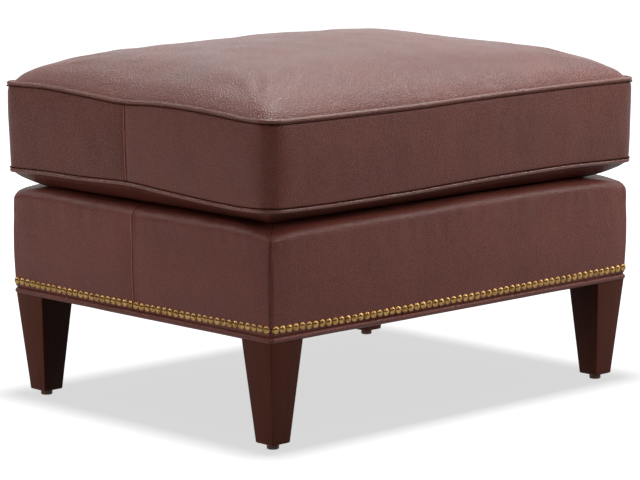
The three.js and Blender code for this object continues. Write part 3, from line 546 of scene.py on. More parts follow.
leg = block("leg", (-LEG_TOP / 2, -LEG_TOP / 2, LEG_BOTTOM_Z), (LEG_TOP / 2, LEG_TOP / 2, LEG_TOP_Z))
open_edit(leg)
pick(leg, "faces", lambda face: face.normal.z < -0.9)
bpy.ops.transform.resize(value=(LEG_BOTTOM / LEG_TOP, LEG_BOTTOM / LEG_TOP, 1))
bpy.ops.mesh.select_mode(type="EDGE")
pick(leg, "edges", lambda edge: middle(edge).z < LEG_BOTTOM_Z + 0.001)
bpy.ops.mesh.bevel(offset=LEG_FOOT_EASE, segments=3, affect="EDGES")
pick(leg, "edges", lambda edge: (edge.verts[0].co - edge.verts[1].co).length > 0.1)
bpy.ops.mesh.bevel(offset=LEG_EDGE_EASE, segments=3, affect="EDGES")
close_edit()
smooth(leg, 40)
dress(leg_wood, leg)

glide = primitive("glide", bpy.ops.mesh.primitive_cylinder_add, vertices=40, radius=GLIDE_RADIUS,
                  depth=GLIDE_HEIGHT, location=(0, 0, GLIDE_HEIGHT / 2))
open_edit(glide, "EDGE")
pick(glide, "edges", lambda edge: edge.is_boundary or abs(edge.calc_face_angle(0)) > 0.8)
bpy.ops.mesh.bevel(offset=GLIDE_EASE, segments=4, affect="EDGES")
close_edit()
smooth(glide, 50)
dress(glide_nylon, glide)

for corner, (sign_x, sign_y) in CORNERS.items():
    for pattern, worked, material_slot in ((leg, "shaped", "leg_wood"), (glide, "turned", "glide_nylon")):
        made = copy_of(pattern, f"{pattern.name}_{worked}_{corner}")
        made.data.transform(Matrix.Translation((sign_x * LEG_AXIS_X, sign_y * LEG_AXIS_Y, 0)))
        finished(made, "base", material_slot, f"{pattern.name}_{corner}")
for pattern in (leg, glide):
    bpy.data.objects.remove(pattern)


# Base cover: six leather panels drawn over the padding, each with its edges turned in at the seams

# How far the padding lifts or drops the base's upper edge, along its front, left, back and right
roll_line = edge_lines(
    BASE_HALF_X, BASE_HALF_Y,
    [(-0.34, -0.0045), (-0.325, -0.0022), (-0.29, -0.0005), (-0.2, 0.0005), (-0.08, 0.0015), (0.06, 0.004),
     (0.22, 0.004), (0.3, 0.002), (0.325, -0.001), (0.34, -0.004)],
    [(-0.26, -0.0045), (-0.245, -0.0015), (-0.2, 0.0025), (-0.1, 0.003), (0.0, 0.0022), (0.1, 0.0035),
     (0.2, 0.006), (0.245, 0.005), (0.26, 0.001)],
    [(-0.34, 0.001), (-0.32, 0.005), (-0.25, 0.006), (0.0, 0.003), (0.25, 0.003), (0.32, 0.0),
     (0.34, -0.004)],
    [(-0.26, -0.004), (-0.245, -0.0005), (-0.2, 0.0025), (-0.1, 0.003), (0.0, 0.0022), (0.1, 0.003),
     (0.2, 0.0025), (0.245, -0.0005), (0.26, -0.004)])
CORNER_DROP, CORNER_REACH = 0.0025, 0.014
TURN_STEPS = (0, 0.0003, 0.0006, 0.0010, 0.0016, 0.0026, 0.0045, 0.0075, 0.0120, 0.0180)
COLUMN_SPACING, COVER_LEAST_RADIUS = 0.0065, 0.0005
PANELS = {
    "front": (BASE_HALF_X, BASE_HALF_Y, 0, None, None),
    "back": (BASE_HALF_X, BASE_HALF_Y, math.pi, None, None),
    "right_front": (BASE_HALF_Y, BASE_HALF_X, math.pi / 2, None, COVER_SEAM_Y),
    "right_back": (BASE_HALF_Y, BASE_HALF_X, math.pi / 2, COVER_SEAM_Y, None),
    "left_front": (BASE_HALF_Y, BASE_HALF_X, -math.pi / 2, -COVER_SEAM_Y, None),
    "left_back": (BASE_HALF_Y, BASE_HALF_X, -math.pi / 2, None, -COVER_SEAM_Y),
}


def roll_rise(x, y):
    """How far the upper edge of the base lies off its pattern. It sinks at the corners, where the leather is
    folded."""
    corner = math.hypot(BASE_HALF_X - abs(x), BASE_HALF_Y - abs(y))
    return roll_line(x, y) - CORNER_DROP * math.exp(-((corner / CORNER_REACH) ** 1.5))


def deck_share(inset):
    """How much of the roll's rise is left on the deck, at a distance in from the base's edge."""
    return 1 - between(0, 1, (inset - 0.022) / 0.034)


def columns(start, end):
    """Places along a panel, close together at its two edges."""
    inner_start, inner_end = start + TURN_STEPS[-1], end - TURN_STEPS[-1]
    count = round((inner_end - inner_start) / COLUMN_SPACING)
    inner = [inner_start + (inner_end - inner_start) * i / count for i in range(1, count)]
    return [start + step for step in TURN_STEPS] + inner + [end - step for step in reversed(TURN_STEPS)]


def cover_section():
    """(inset, height, outward lean) down one section of the cover: up the face, over the roll and in to the
    deck."""
    rows = [(0, COVER_BOTTOM_Z + rise, 0) for rise in (0, 0.0008, 0.0017, 0.0027, 0.004)]
    face = DECK_Z - COVER_ROLL - COVER_BOTTOM_Z
    rows += [(0, COVER_BOTTOM_Z + face * i / 20, 0) for i in range(1, 21)]
    for i in range(1, 9):
        angle = math.radians(90 * i / 8)
        rows.append((COVER_ROLL * (1 - math.cos(angle)), DECK_Z - COVER_ROLL * (1 - math.sin(angle)), angle))
    deck = DECK_BORDER - COVER_ROLL
    rows += [(COVER_ROLL + deck * i / 8, DECK_Z, math.pi / 2) for i in range(1, 9)]
    return rows


def cover_place(along_side, inset, half, reach):
    """A point of a side that faces -Y, at a place along its outer edge, and inset. Its ends are mitred."""
    radius = max(COVER_CORNER - inset, COVER_LEAST_RADIUS)
    straight = half - inset - radius
    quarter = radius * math.pi / 4
    path = along_side / (half - COVER_CORNER + COVER_CORNER * math.pi / 4) * (straight + quarter)
    past = abs(path) - straight
    if past <= 0:
        return Vector((path, inset - reach, 0)), 0
    angle = past / radius
    side = math.copysign(1, path)
    return Vector((side * (straight + radius * math.sin(angle)),
                   -(reach - inset - radius) - radius * math.cos(angle), 0)), side * angle


def stand_off(point, rise, lean, edge):
    """How far the leather stands off its pattern: a bulge in the face, and fine creases where it is pulled
    over the padded edge."""
    lying = math.cos(lean)
    bulge = (0.0017 + 0.0027 * between(0, 1, rise / 0.42)) * between(0.75, 1, edge / 0.03) * lying ** 1.5
    bulge *= 1 - 0.35 * between(0, 1, (rise - 0.45) / 0.5)
    roll_zone = between(0, 1, (rise - 0.55) / 0.3) * between(0.15, 1, lying * 1.4)
    pulled, crease, gathered = (
        noise.noise(Vector((point.x * across, point.y * across, point.z * up)))
        for across, up in ((60, 16), (170, 45), (120, 70)))
    creased = 0.0007 * pulled + 0.00045 * crease + 0.0012 * math.exp(-edge / 0.022) * gathered
    return bulge + 0.0008 * noise.noise(point * 9) * lying + roll_zone * creased


def turned_edge(from_start, from_end, start, end):
    """How deep the leather sinks at its two edges. Where two panels meet on a short side, the front one
    laps."""
    deep = 0
    for gap, seam in ((from_start, start), (from_end, end)):
        laps = seam is not None and (seam > 0) == (gap is from_end)
        deep += 0.0011 * math.exp(-((gap / 0.0009) ** 1.5)) + (
            -0.0006 * math.exp(-((gap / 0.0030) ** 2)) if laps else 0.0004 * math.exp(-gap / 0.004))
    return deep


def cover_grid(name, side, rows, sunk, trim=0.0):
    """A grid laid over one panel's section of the base, sunk under the outside of its leather. Its ends are
    trimmed back where it is a strip of wadding."""
    half, reach, turn, start, end = side
    full = half - COVER_CORNER + COVER_CORNER * math.pi / 4
    places = columns((-full if start is None else start) + trim, (full if end is None else end) - trim)
    last_column, last_row = len(places) - 1, len(rows) - 1
    grid = primitive(name, bpy.ops.mesh.primitive_grid_add, x_subdivisions=last_column,
                     y_subdivisions=last_row, size=2)
    turned = Matrix.Rotation(turn, 3, "Z")
    for vertex in grid.data.vertices:
        column = round((vertex.co.x + 1) / 2 * last_column)
        inset, height, lean = rows[round((vertex.co.y + 1) / 2 * last_row)]
        place, corner_turn = cover_place(places[column], inset, half, reach)
        point = turned @ place
        rise = (height - COVER_BOTTOM_Z) / (DECK_Z - COVER_BOTTOM_Z)
        point.z = height + roll_rise(point.x, point.y) * between(0, 1, (rise - 0.6) / 0.4) * deck_share(inset)
        from_start, from_end = places[column] - places[0], places[-1] - places[column]
        lying = math.cos(lean)
        outward = turned @ Vector((
            math.sin(corner_turn) * lying, -math.cos(corner_turn) * lying, math.sin(lean)))
        out = stand_off(point, rise, lean, min(from_start, from_end) + trim) - sunk
        if not trim:
            out -= turned_edge(from_start, from_end, start, end)
            out -= 0.0024 * math.exp(-(((height - COVER_BOTTOM_Z) / 0.0024) ** 2))
        vertex.co = point + outward * out
    grid.data.update()
    if sum(face.normal.dot(Vector((face.center.x, face.center.y, 0))) for face in grid.data.polygons) < 0:
        grid.data.flip_normals()
    return grid


def lap(name, body, panel, rays, radius):
    """A folded edge of leather: a thin roll along the places where the rays meet a panel."""
    skin = BVHTree.FromObject(panel, bpy.context.evaluated_depsgraph_get())
    spots = [skin.ray_cast(start, towards)[0] - towards * LAP_LIFT for start, towards in rays]
    fold = piping(name, spots, radius, sides=8, closed=False)
    # its lighter leather is a painted highlight along the fold's edge
    dress(fold_leather_painted_highlight, fold)
    finished(fold, body, "leather")


section = cover_section()
padded_section = [row for row in section if row[1] > COVER_BOTTOM_Z + 0.004 and row[0] < PADDING_REACH]
wadding_strips = []
for name, side in PANELS.items():
    panel = cover_grid(f"base_leather_{name}", side, section, 0)
    modify(panel, "SUBSURF", levels=1, render_levels=1)
    modify(panel, "SOLIDIFY", thickness=LEATHER, offset=-1)
    smooth(panel)
    dress(base_leather, panel)
    finished(panel, "base", "leather", f"cover_{name}")
    strip = cover_grid(f"wadding_{name}", side, padded_section, LEATHER + PADDING_GAP, trim=PADDING_TRIM)
    modify(strip, "SOLIDIFY", thickness=PADDING, offset=-1)
    smooth(strip)
    wadding_strips.append(strip)

# the folded edge of each front panel, where it laps over the back one half way along a short side
bpy.context.view_layer.update()
for side_name, sign in (("left", -1), ("right", 1)):
    axis = Vector((sign * (BASE_HALF_X - COVER_ROLL), COVER_SEAM_Y - 0.0012, DECK_Z - COVER_ROLL))
    lowest = COVER_BOTTOM_Z + 0.002
    rays = [(Vector((sign * 0.4, axis.y, lowest + (axis.z - lowest) * i / 28)), Vector((-sign, 0, 0)))
            for i in range(28)]
    for i in range(12):
        angle = math.radians(7 * i)
        towards = Vector((-sign * math.cos(angle), 0, -math.sin(angle)))
        rays.append((axis - towards * 0.05, towards))
    lap(f"base_lap_{side_name}", "base", bpy.data.objects[f"base_leather_{side_name}_front"], rays, 0.0009)

wadding_wrap = joined(wadding_strips, "wadding_wrap")
dress(wadding, wadding_wrap)
finished(wadding_wrap, "base", "padding", "base_padding")


# Deck: a slab of foam under the leather border, and the cloth that is sewn to the border

foam_low, foam_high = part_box("deck_foam")
deck_slab = block("deck_slab", foam_low, foam_high)
open_edit(deck_slab, whole=True)
bpy.ops.mesh.subdivide(number_cuts=30)
close_edit()


def foam_top(co):
    inset = min(BASE_HALF_X - abs(co.x), BASE_HALF_Y - abs(co.y))
    top = DECK_Z - LEATHER - 0.0003 + roll_rise(co.x, co.y) * deck_share(inset)
    co.z = foam_low[2] + (co.z - foam_low[2]) * (top - foam_low[2]) / (foam_high[2] - foam_low[2])
    return co


reshape(deck_slab, foam_top)
smooth(deck_slab, 40)
dress(seat_foam, deck_slab)
finished(deck_slab, "base", "foam", "deck_foam")

cloth_low, cloth_high = (Vector(corner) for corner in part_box("deck_cloth"))
cloth_size = cloth_high - cloth_low
deck_sheet = primitive("platform_cloth", bpy.ops.mesh.primitive_grid_add, x_subdivisions=80,
                       y_subdivisions=56, size=1, location=(0, 0, cloth_low.z))
reshape(deck_sheet, lambda co: Vector((
    co.x * cloth_size.x, co.y * cloth_size.y, co.z + 0.00015 * noise.noise(Vector((co.x * 9, co.y * 7, 2))))))
modify(deck_sheet, "SOLIDIFY", thickness=DECK_CLOTH, offset=1)
smooth(deck_sheet, 40)
dress(deck_weave, deck_sheet)
finished(deck_sheet, "base", "deck_cloth", "deck_cloth")


# Dust cover: black cambric stapled under the rails and cut out round the legs

dust_low, dust_high = (Vector(corner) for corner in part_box("dust_cover"))
dust_size = dust_high - dust_low
LEG_CUT = 0.0471
cambric = primitive("cambric", bpy.ops.mesh.primitive_plane_add, size=1, location=(0, 0, dust_high.z))
reshape(cambric, lambda co: Vector((co.x * dust_size.x, co.y * dust_size.y, co.z)))
open_edit(cambric)
for along_x, line in ((True, dust_size.x / 2 - LEG_CUT), (False, dust_size.y / 2 - LEG_CUT)):
    for sign in (-1, 1):
        bpy.ops.mesh.select_all(action="SELECT")
        bpy.ops.mesh.bisect(plane_co=(sign * line, 0, 0) if along_x else (0, sign * line, 0),
                            plane_no=(1, 0, 0) if along_x else (0, 1, 0))
pick(cambric, "faces", lambda face: abs(face.calc_center_median().x) > dust_size.x / 2 - LEG_CUT
     and abs(face.calc_center_median().y) > dust_size.y / 2 - LEG_CUT)
bpy.ops.mesh.delete(type="FACE")
bpy.ops.mesh.select_all(action="SELECT")
bpy.ops.mesh.subdivide(number_cuts=15)
close_edit()


def dust_sag(co):
    """The cambric hangs a little in the middle and ripples softly between its staples."""
    hang = (1 - (2 * co.x / dust_size.x) ** 2) * (1 - (2 * co.y / dust_size.y) ** 2)
    ripple = noise.noise(Vector((co.x * 14, co.y * 14, 5)))
    co.z -= 0.0035 * max(hang, 0) + 0.0007 * (1 + ripple) * min(max(hang, 0) * 6, 1)
    return co


reshape(cambric, dust_sag)
modify(cambric, "SOLIDIFY", thickness=CAMBRIC, offset=-1 if cambric.data.polygons[0].normal.z > 0 else 1)
smooth(cambric, 40)
dress(dust_weave, cambric)
finished(cambric, "base", "dust_cloth", "dust_cover")

staple = block("staple", (-0.0055, -0.0006, -0.0006), (0.0055, 0.0006, 0))
open_edit(staple)
pick(staple, "faces", lambda face: abs(face.normal.x) > 0.9)
bpy.ops.transform.translate(value=(0, 0, 0.0008))
close_edit()
modify(staple, "BEVEL", width=0.0003, segments=1)
dress(zinc_steel, staple)
staples = []
for side in range(4):
    half, reach = (dust_size.x / 2, dust_size.y / 2) if side % 2 == 0 else (dust_size.y / 2, dust_size.x / 2)
    stapled = half - STAPLE_FROM_CORNER
    count = round(2 * stapled / STAPLE_PITCH)
    for i in range(count + 1):
        pinned = copy_of(staple, f"staple_{side}_{i}")
        place = Matrix.Translation((-stapled + 2 * stapled * i / count, -reach + STAPLE_INSET,
                                    dust_high.z - 0.0008))
        pinned.data.transform(Matrix.Rotation(side * math.pi / 2, 4, "Z") @ place @ Matrix.Rotation(
            0.12 * math.sin(i * 2.3), 4, "Z"))
        staples.append(pinned)
finished(joined(staples, "cambric_staples"), "base", "steel")
bpy.data.objects.remove(staple)


# Base welt


def rounded_path(half_x, half_y, radii, draw_in=0.0):
    """Points round a rounded rectangle, with its sides drawn in towards their middles. The radii are those of
    the front right, back right, back left and front left corners."""
    points = []
    steps, spacing = 8, 0.006
    for corner, (sign_x, sign_y) in enumerate(((1, -1), (1, 1), (-1, 1), (-1, -1))):
        radius = radii[corner]
        for step in range(steps + 1):
            angle = (corner - 1 + step / steps) * math.pi / 2
            points.append(Vector((sign_x * (half_x - radius) + radius * math.cos(angle),
                                  sign_y * (half_y - radius) + radius * math.sin(angle), 0)))
        length = 2 * (half_x if corner % 2 else half_y) - radius - radii[(corner + 1) % 4]
        count = round(length / spacing)
        turn = corner * math.pi / 2
        inwards = Vector((-math.cos(turn), -math.sin(turn), 0))
        onwards = Vector((-math.sin(turn), math.cos(turn), 0))
        begin = points[-1]
        for i in range(1, count):
            share = i / count
            points.append(begin + onwards * length * share + inwards * draw_in * (1 - (2 * share - 1) ** 2))
    return points


path = rounded_path(BASE_HALF_X - BASE_WELT_INSET, BASE_HALF_Y - BASE_WELT_INSET, [BASE_WELT_CORNER] * 4)
base_cord = piping("base_piping", [
    point + Vector((0, 0, BASE_WELT_Z + 0.0004 * noise.noise(point * 14))) for point in path
], BASE_WELT_RADIUS)
dress(base_leather, base_cord)
finished(base_cord, "base", "leather", "base_welt")


# Nails: one domed head, copied along the four sides, each a little out of true

# How far the row hangs below its pattern, along the long sides and the short sides
LONG_HANG = [(-0.34, -0.0018), (-0.28, -0.0032), (-0.2, -0.0047), (0.0, -0.0045), (0.15, -0.0038),
             (0.34, -0.0032)]
SHORT_HANG = [(-0.26, -0.0016), (-0.2, -0.0024), (-0.1, -0.0037), (0.0, -0.0039), (0.12, -0.0037),
              (0.22, -0.0026), (0.26, -0.002)]
nail_hang = edge_lines(BASE_HALF_X, BASE_HALF_Y, LONG_HANG, SHORT_HANG, LONG_HANG, SHORT_HANG)

head = primitive("nail_head", bpy.ops.mesh.primitive_uv_sphere_add, segments=12, ring_count=8,
                 radius=NAIL_RADIUS)
open_edit(head, whole=True)
bpy.ops.mesh.bisect(plane_co=(0, 0, 0.0001), plane_no=(0, 0, 1), clear_inner=True)
pick(head, "edges", lambda edge: edge.is_boundary)
bpy.ops.mesh.extrude_region_move(TRANSFORM_OT_translate={"value": (0, 0, -0.001)})
close_edit()
reshape(head, lambda co: Vector((co.x, co.y, co.z * NAIL_CROWN / NAIL_RADIUS if co.z > 0 else co.z)))
smooth(head)
dress(nail_brass, head)

rng = random.Random(7)
heads = []
for side in range(4):
    half, reach, count = ((BASE_HALF_X, BASE_HALF_Y, LONG_SIDE_NAILS),
                          (BASE_HALF_Y, BASE_HALF_X, SHORT_SIDE_NAILS))[side % 2]
    pitch = 2 * half / (count - 1 + 2 * CORNER_NAIL_SHARE)
    turned = Matrix.Rotation(side * math.pi / 2, 4, "Z")
    for i in range(count):
        spot = -half + (CORNER_NAIL_SHARE + i) * pitch + rng.uniform(-NAIL_WANDER, NAIL_WANDER)
        on_plan = turned @ Vector((spot, -reach, 0))
        height = NAIL_Z + nail_hang(on_plan.x, on_plan.y) + rng.uniform(-NAIL_RISE, NAIL_RISE)
        place = turned @ Matrix.Translation((spot, -reach - NAIL_SEAT, height))
        tilt = Matrix.Rotation(rng.uniform(-NAIL_TILT, NAIL_TILT), 4, "X")
        tilt = tilt @ Matrix.Rotation(rng.uniform(-NAIL_TILT, NAIL_TILT), 4, "Z")
        nail = copy_of(head, f"nail_{side}_{i}")
        nail.data.transform(place @ tilt @ Matrix.Rotation(math.pi / 2, 4, "X"))
        heads.append(nail)
nails = joined(heads, "brass_nail_heads")
finished(nails, "base", "antique_brass", "nail_trim")
bpy.data.objects.remove(head)


# Cushion

# How far the seams lie above or below their straight pattern, along the front, left, back and right
upper_seam = edge_lines(
    CUSHION_HALF_X, CUSHION_HALF_Y,
    [(-0.35, -0.002), (-0.235, -0.0027), (-0.094, -0.0027), (0.055, 0.0), (0.211, 0.0014), (0.331, 0.0009)],
    [(-0.267, -0.0011), (-0.222, -0.0016), (-0.146, 0.0035), (-0.066, 0.0056), (-0.01, 0.003),
     (0.014, 0.0008), (0.04, 0.0022), (0.099, 0.0058), (0.186, 0.0102), (0.248, 0.0080)],
    [(-0.35, 0.0080), (-0.22, 0.005), (0.0, 0.002), (0.2, 0.003), (0.35, 0.001)],
    [(-0.27, 0.0009), (-0.12, 0.003), (0.014, 0.0), (0.15, 0.003), (0.27, 0.001)])
lower_seam = edge_lines(
    CUSHION_HALF_X, CUSHION_HALF_Y,
    [(-0.348, 0.0012), (-0.32, -0.0005), (-0.235, -0.0018), (-0.094, -0.0007), (0.056, 0.0033),
     (0.213, 0.0047), (0.323, 0.0018)],
    [(-0.268, 0.0015), (-0.245, 0.0), (-0.221, -0.0018), (-0.144, 0.0003), (-0.064, 0.0044),
     (0.014, 0.0095), (0.102, 0.0058), (0.19, 0.006), (0.252, 0.0035)],
    [(-0.35, 0.0035), (-0.2, 0.005), (0.0, 0.003), (0.2, 0.004), (0.35, 0.001)],
    [(-0.27, 0.0018), (-0.1, 0.003), (0.014, 0.006), (0.12, 0.003), (0.27, 0.001)])


def seam_lift(x, y):
    """How far the upper and the lower seam lie off their pattern near a place in plan."""
    return upper_seam(x, y), lower_seam(x, y)


def inwards_of(x, y):
    return min(CUSHION_HALF_X - abs(x), CUSHION_HALF_Y - abs(y))


EDGE_RISE, EDGE_REACH, CROWN_RISE, CROWN_REACH, DOME_RISE = 0.0095, 0.008, 0.0335, 0.050, 0.0215
CROWN_INSET, MITRE_BLEND = 0.003, 0.014
ACROSS_X, ACROSS_Y = 0.7236, -0.6902        # towards the right of the camera's view, in plan


def crown(x, y):
    """Height of the filled top over its seam: it swells quickly at the edge and then rises in a slow dome."""
    half_x, half_y = CUSHION_HALF_X - CROWN_INSET, CUSHION_HALF_Y - CROWN_INSET
    gaps = max(half_x - abs(x), 0), max(half_y - abs(y), 0)
    inside = max(-MITRE_BLEND * math.log(sum(math.exp(-gap / MITRE_BLEND) for gap in gaps)), 0)
    swell = EDGE_RISE * (1 - math.exp(-inside / EDGE_REACH)) + CROWN_RISE * (
        1 - math.exp(-inside / CROWN_REACH))
    dome = (1 - min(abs(x) / half_x, 1) ** 1.7) * (1 - min(abs(y) / half_y, 1) ** 1.7)
    # the filling is a little thin towards the front right and full near the back
    across = ACROSS_X * x + ACROSS_Y * y
    thin = 0.0042 * math.exp(-(((across - 0.22) / 0.10) ** 2))
    full = 0.0022 * math.exp(-(((across - 0.055) / 0.05) ** 2))
    return swell + DOME_RISE * dome + (full - thin) * dome ** 0.3


def belly(x, y):
    """Depth of the underside below the lower seam, over a place in plan."""
    gap = min(max((inwards_of(x, y) - 0.0055) / 0.052, 0), 1)
    return (LOWER_SEAM_Z - BELLY_Z - 0.002) * (1 - (1 - gap) ** 2.4)


def drawn_in(co):
    """Pulls a side in towards its middle, as the tight seams do."""
    near_x = (abs(co.x) / CUSHION_HALF_X) ** 6
    near_y = (abs(co.y) / CUSHION_HALF_Y) ** 6
    co.x -= math.copysign(CUSHION_DRAW_IN * (1 - min(abs(co.y) / DRAWN_HALF_Y, 1) ** 2) * near_x, co.x)
    co.y -= math.copysign(CUSHION_DRAW_IN * (1 - min(abs(co.x) / DRAWN_HALF_X, 1) ** 2) * near_y, co.y)
    return co


def cushion_form():
    seam_x, seam_y = CUSHION_HALF_X - SEAM_INSET, CUSHION_HALF_Y - SEAM_INSET
    form = block("cushion", (-seam_x, -seam_y, LOWER_SEAM_Z - 0.0015),
                 (seam_x, seam_y, UPPER_SEAM_Z + 0.0015))
    open_edit(form, "EDGE")
    for corner, (sign_x, sign_y) in CORNERS.items():
        pick(form, "edges", lambda edge: upright(edge) and middle(edge).x * sign_x > seam_x - 0.001
             and middle(edge).y * sign_y > seam_y - 0.001)
        bpy.ops.mesh.bevel(offset=CUSHION_RADII[corner], segments=8, affect="EDGES")
    close_edit()
    modify(form, "REMESH", mode="VOXEL", voxel_size=0.0062)

    def shaped(co):
        share = (co.z - LOWER_SEAM_Z) / (UPPER_SEAM_Z - LOWER_SEAM_Z)
        if share > 0.97:
            co.z += crown(co.x, co.y)
        elif share < 0.03:
            co.z -= belly(co.x, co.y)
        return drawn_in(co)

    reshape(form, shaped)
    return form


def pin_weight(co):
    """1 on the seams, which hold the leather down, and 0 in the middle of a panel."""
    if inwards_of(co.x, co.y) < 0.016:
        near = min(abs(co.z - UPPER_SEAM_Z), abs(co.z - LOWER_SEAM_Z))
    else:
        near = 1
    if abs(co.x) > CUSHION_HALF_X - BOXING_STRIP and LOWER_SEAM_Z < co.z < UPPER_SEAM_Z:
        near = min(near, abs(co.y - BOXING_SEAM_Y))
    if co.y > CUSHION_HALF_Y - BOXING_STRIP and abs(co.x) < ZIP_LENGTH / 2 + 0.01:
        near = min(near, abs(co.z - ZIP_Z) - 0.004)
    return 1 - between(0, 1, (near - 0.003) / 0.010)


def puffed(form, pressure, most):
    """Lets air pressure swell the leather between its seams, then caps how far it went."""
    before = [vertex.co.copy() for vertex in form.data.vertices]
    pins = form.vertex_groups.new(name="seams")
    for vertex in form.data.vertices:
        pins.add([vertex.index], pin_weight(vertex.co), "REPLACE")
    only(form)
    cloth = form.modifiers.new("cloth", "CLOTH")
    cloth.settings.quality = 5
    cloth.settings.mass = 0.35
    cloth.settings.tension_stiffness = cloth.settings.compression_stiffness = 25
    cloth.settings.shear_stiffness = 12
    cloth.settings.bending_stiffness = 2
    cloth.settings.use_pressure = True
    cloth.settings.uniform_pressure_force = pressure
    cloth.settings.vertex_group_mass = "seams"
    cloth.settings.effector_weights.gravity = 0
    cloth.collision_settings.use_collision = False
    cloth.point_cache.frame_start, cloth.point_cache.frame_end = 1, 20
    for step in range(1, 21):
        scene.frame_set(step)
    bpy.ops.object.modifier_apply(modifier=cloth.name)
    scene.frame_set(1)
    for vertex, start in zip(form.data.vertices, before):
        moved = vertex.co - start
        if moved.length > most:
            vertex.co = start + moved * (most / moved.length)
    form.vertex_groups.clear()
    form.data.update()


def settled(co):
    """Carries a point of the straight pattern to where the sewn and used cushion has it."""
    upper, lower = seam_lift(co.x, co.y)
    share = (co.z - LOWER_SEAM_Z) / (UPPER_SEAM_Z - LOWER_SEAM_Z)
    inside = max(inwards_of(co.x, co.y), 0)
    taper = LOWER_TAPER * (1 - between(0, 1, share))
    co.x -= taper * (co.x / CUSHION_HALF_X) ** 3
    co.y -= taper * (co.y / CUSHION_HALF_Y) ** 3
    if share > 1:
        co.z += upper * (1 - between(0, 1, inside / 0.19))
    elif share < 0:
        co.z += lower * (1 - between(0, 1, inside / 0.06))
    else:
        co.z += lower + (upper - lower) * share
    return co


cushion = cushion_form()
puffed(cushion, FILLING_PRESSURE, FILLING_MOST)
modify(cushion, "SUBSURF", levels=1, render_levels=1)


def zip_face(x):
    """Where the outside of the zip's tape lies in the back boxing, which is drawn in towards its middle."""
    return CUSHION_HALF_Y - ZIP_SINK - CUSHION_DRAW_IN * (1 - (x / DRAWN_HALF_X) ** 2)


def sewn(co):
    """Sinks the leather into its seams, and behind the zip."""
    inside = inwards_of(co.x, co.y)
    if LOWER_SEAM_Z < co.z < UPPER_SEAM_Z and abs(co.x) > CUSHION_HALF_X - BOXING_STRIP:
        gap = abs(co.y - BOXING_SEAM_Y)
        co.x -= math.copysign(0.0014 * math.exp(-((gap / 0.0034) ** 2)), co.x)
    co.z = max(co.z, BELLY_Z)
    if co.z > UPPER_SEAM_Z + 0.004:
        wave = noise.noise(Vector((co.x * 9, co.y * 9, 3)))
        dent = noise.noise(Vector((co.x * 24, co.y * 24, 8)))
        co.z += (0.0016 * wave + 0.0011 * dent) * between(0, 1, inside / 0.04)
    elif co.z > LOWER_SEAM_Z:
        ripple = noise.noise(Vector((co.x * 26, co.y * 26, co.z * 17)))
        share = (co.z - LOWER_SEAM_Z) / (UPPER_SEAM_Z - LOWER_SEAM_Z)
        out = Vector((co.x / CUSHION_HALF_X, co.y / CUSHION_HALF_Y, 0))
        out = Vector((math.copysign(out.x ** 12, out.x), math.copysign(out.y ** 12, out.y), 0))
        co += out * (0.0007 + 0.0009 * ripple) * math.sin(math.pi * share)
    co = settled(co)
    in_slot = abs(co.x) < ZIP_LENGTH / 2 + 0.002 and abs(co.z - ZIP_Z) < ZIP_SLOT / 2 + 0.001
    if in_slot and co.y > CUSHION_HALF_Y - BOXING_STRIP:
        co.y = zip_face(co.x) - ZIP_SLOT_DEPTH
    return co


reshape(cushion, sewn)
smooth(cushion)
cushion.data.materials.clear()
for material in (boxing_leather, top_leather, coarse_leather):
    cushion.data.materials.append(material)
for face in cushion.data.polygons:
    upper, lower = seam_lift(face.center.x, face.center.y)
    if face.center.z > UPPER_SEAM_Z + upper or face.center.z < LOWER_SEAM_Z + lower:
        face.material_index = 1 if face.center.z > 0.4 else 0
    elif face.center.y > BOXING_SEAM_Y:
        face.material_index = 2
cushion.name = cushion.data.name = "cushion_filled"
finished(cushion, "cushion", "leather", "cushion_core", "cushion_top", "cushion_underside", "boxing_front",
         "boxing_back")

for name, seam_z, crease, node_name in (
        ("cushion_piping_upper", UPPER_SEAM_Z, -1, "cushion_welt_upper"),
        ("cushion_piping_lower", LOWER_SEAM_Z, 1, "cushion_welt_lower")):
    inset = CUSHION_WELT_RADIUS + WELT_SEAT
    path = rounded_path(CUSHION_HALF_X - inset, CUSHION_HALF_Y - inset,
                        [radius - inset for radius in CUSHION_RADII.values()], CUSHION_DRAW_IN)
    cord = piping(name, [settled(point + Vector((0, 0, seam_z))) for point in path], CUSHION_WELT_RADIUS)
    dress(welt_leather, cord)
    finished(cord, "cushion", "leather", node_name)
    # the thread that closes the seam, drawn down into the crease between the welt and the boxing. Its dark
    # cord is partly real stitching and partly painted shade, standing in for the shade in the crease
    path = rounded_path(CUSHION_HALF_X - THREAD_INSET, CUSHION_HALF_Y - THREAD_INSET,
                        [radius - THREAD_INSET for radius in CUSHION_RADII.values()], CUSHION_DRAW_IN)
    thread = piping(name.replace("piping", "seam_thread_and_shade"), [
        settled(point + Vector((0, 0, seam_z + crease * THREAD_DROP))) for point in path
    ], THREAD_RADIUS, sides=6)
    dress(seam_thread_and_shade, thread)
    finished(thread, "cushion", "leather")


# The lapped seam half way along each short side of the boxing

for side_name, sign in (("left", -1), ("right", 1)):
    rays = []
    for i in range(33):
        share = 0.05 + 0.90 * i / 32
        height = settled(Vector((sign * CUSHION_HALF_X, BOXING_SEAM_Y, LOWER_SEAM_Z + (
            UPPER_SEAM_Z - LOWER_SEAM_Z) * share))).z
        seam_y = BOXING_SEAM_Y + 0.0006 * noise.noise(Vector((3, sign, share * 6)))
        rays.append((Vector((sign * 0.45, seam_y, height)), Vector((-sign, 0, 0))))
    lap(f"boxing_lap_{side_name}", "cushion", cushion, rays, 0.0010)


# Zip: tape, interlocking teeth and stops in the back boxing, a leather edge round them, slider and pull

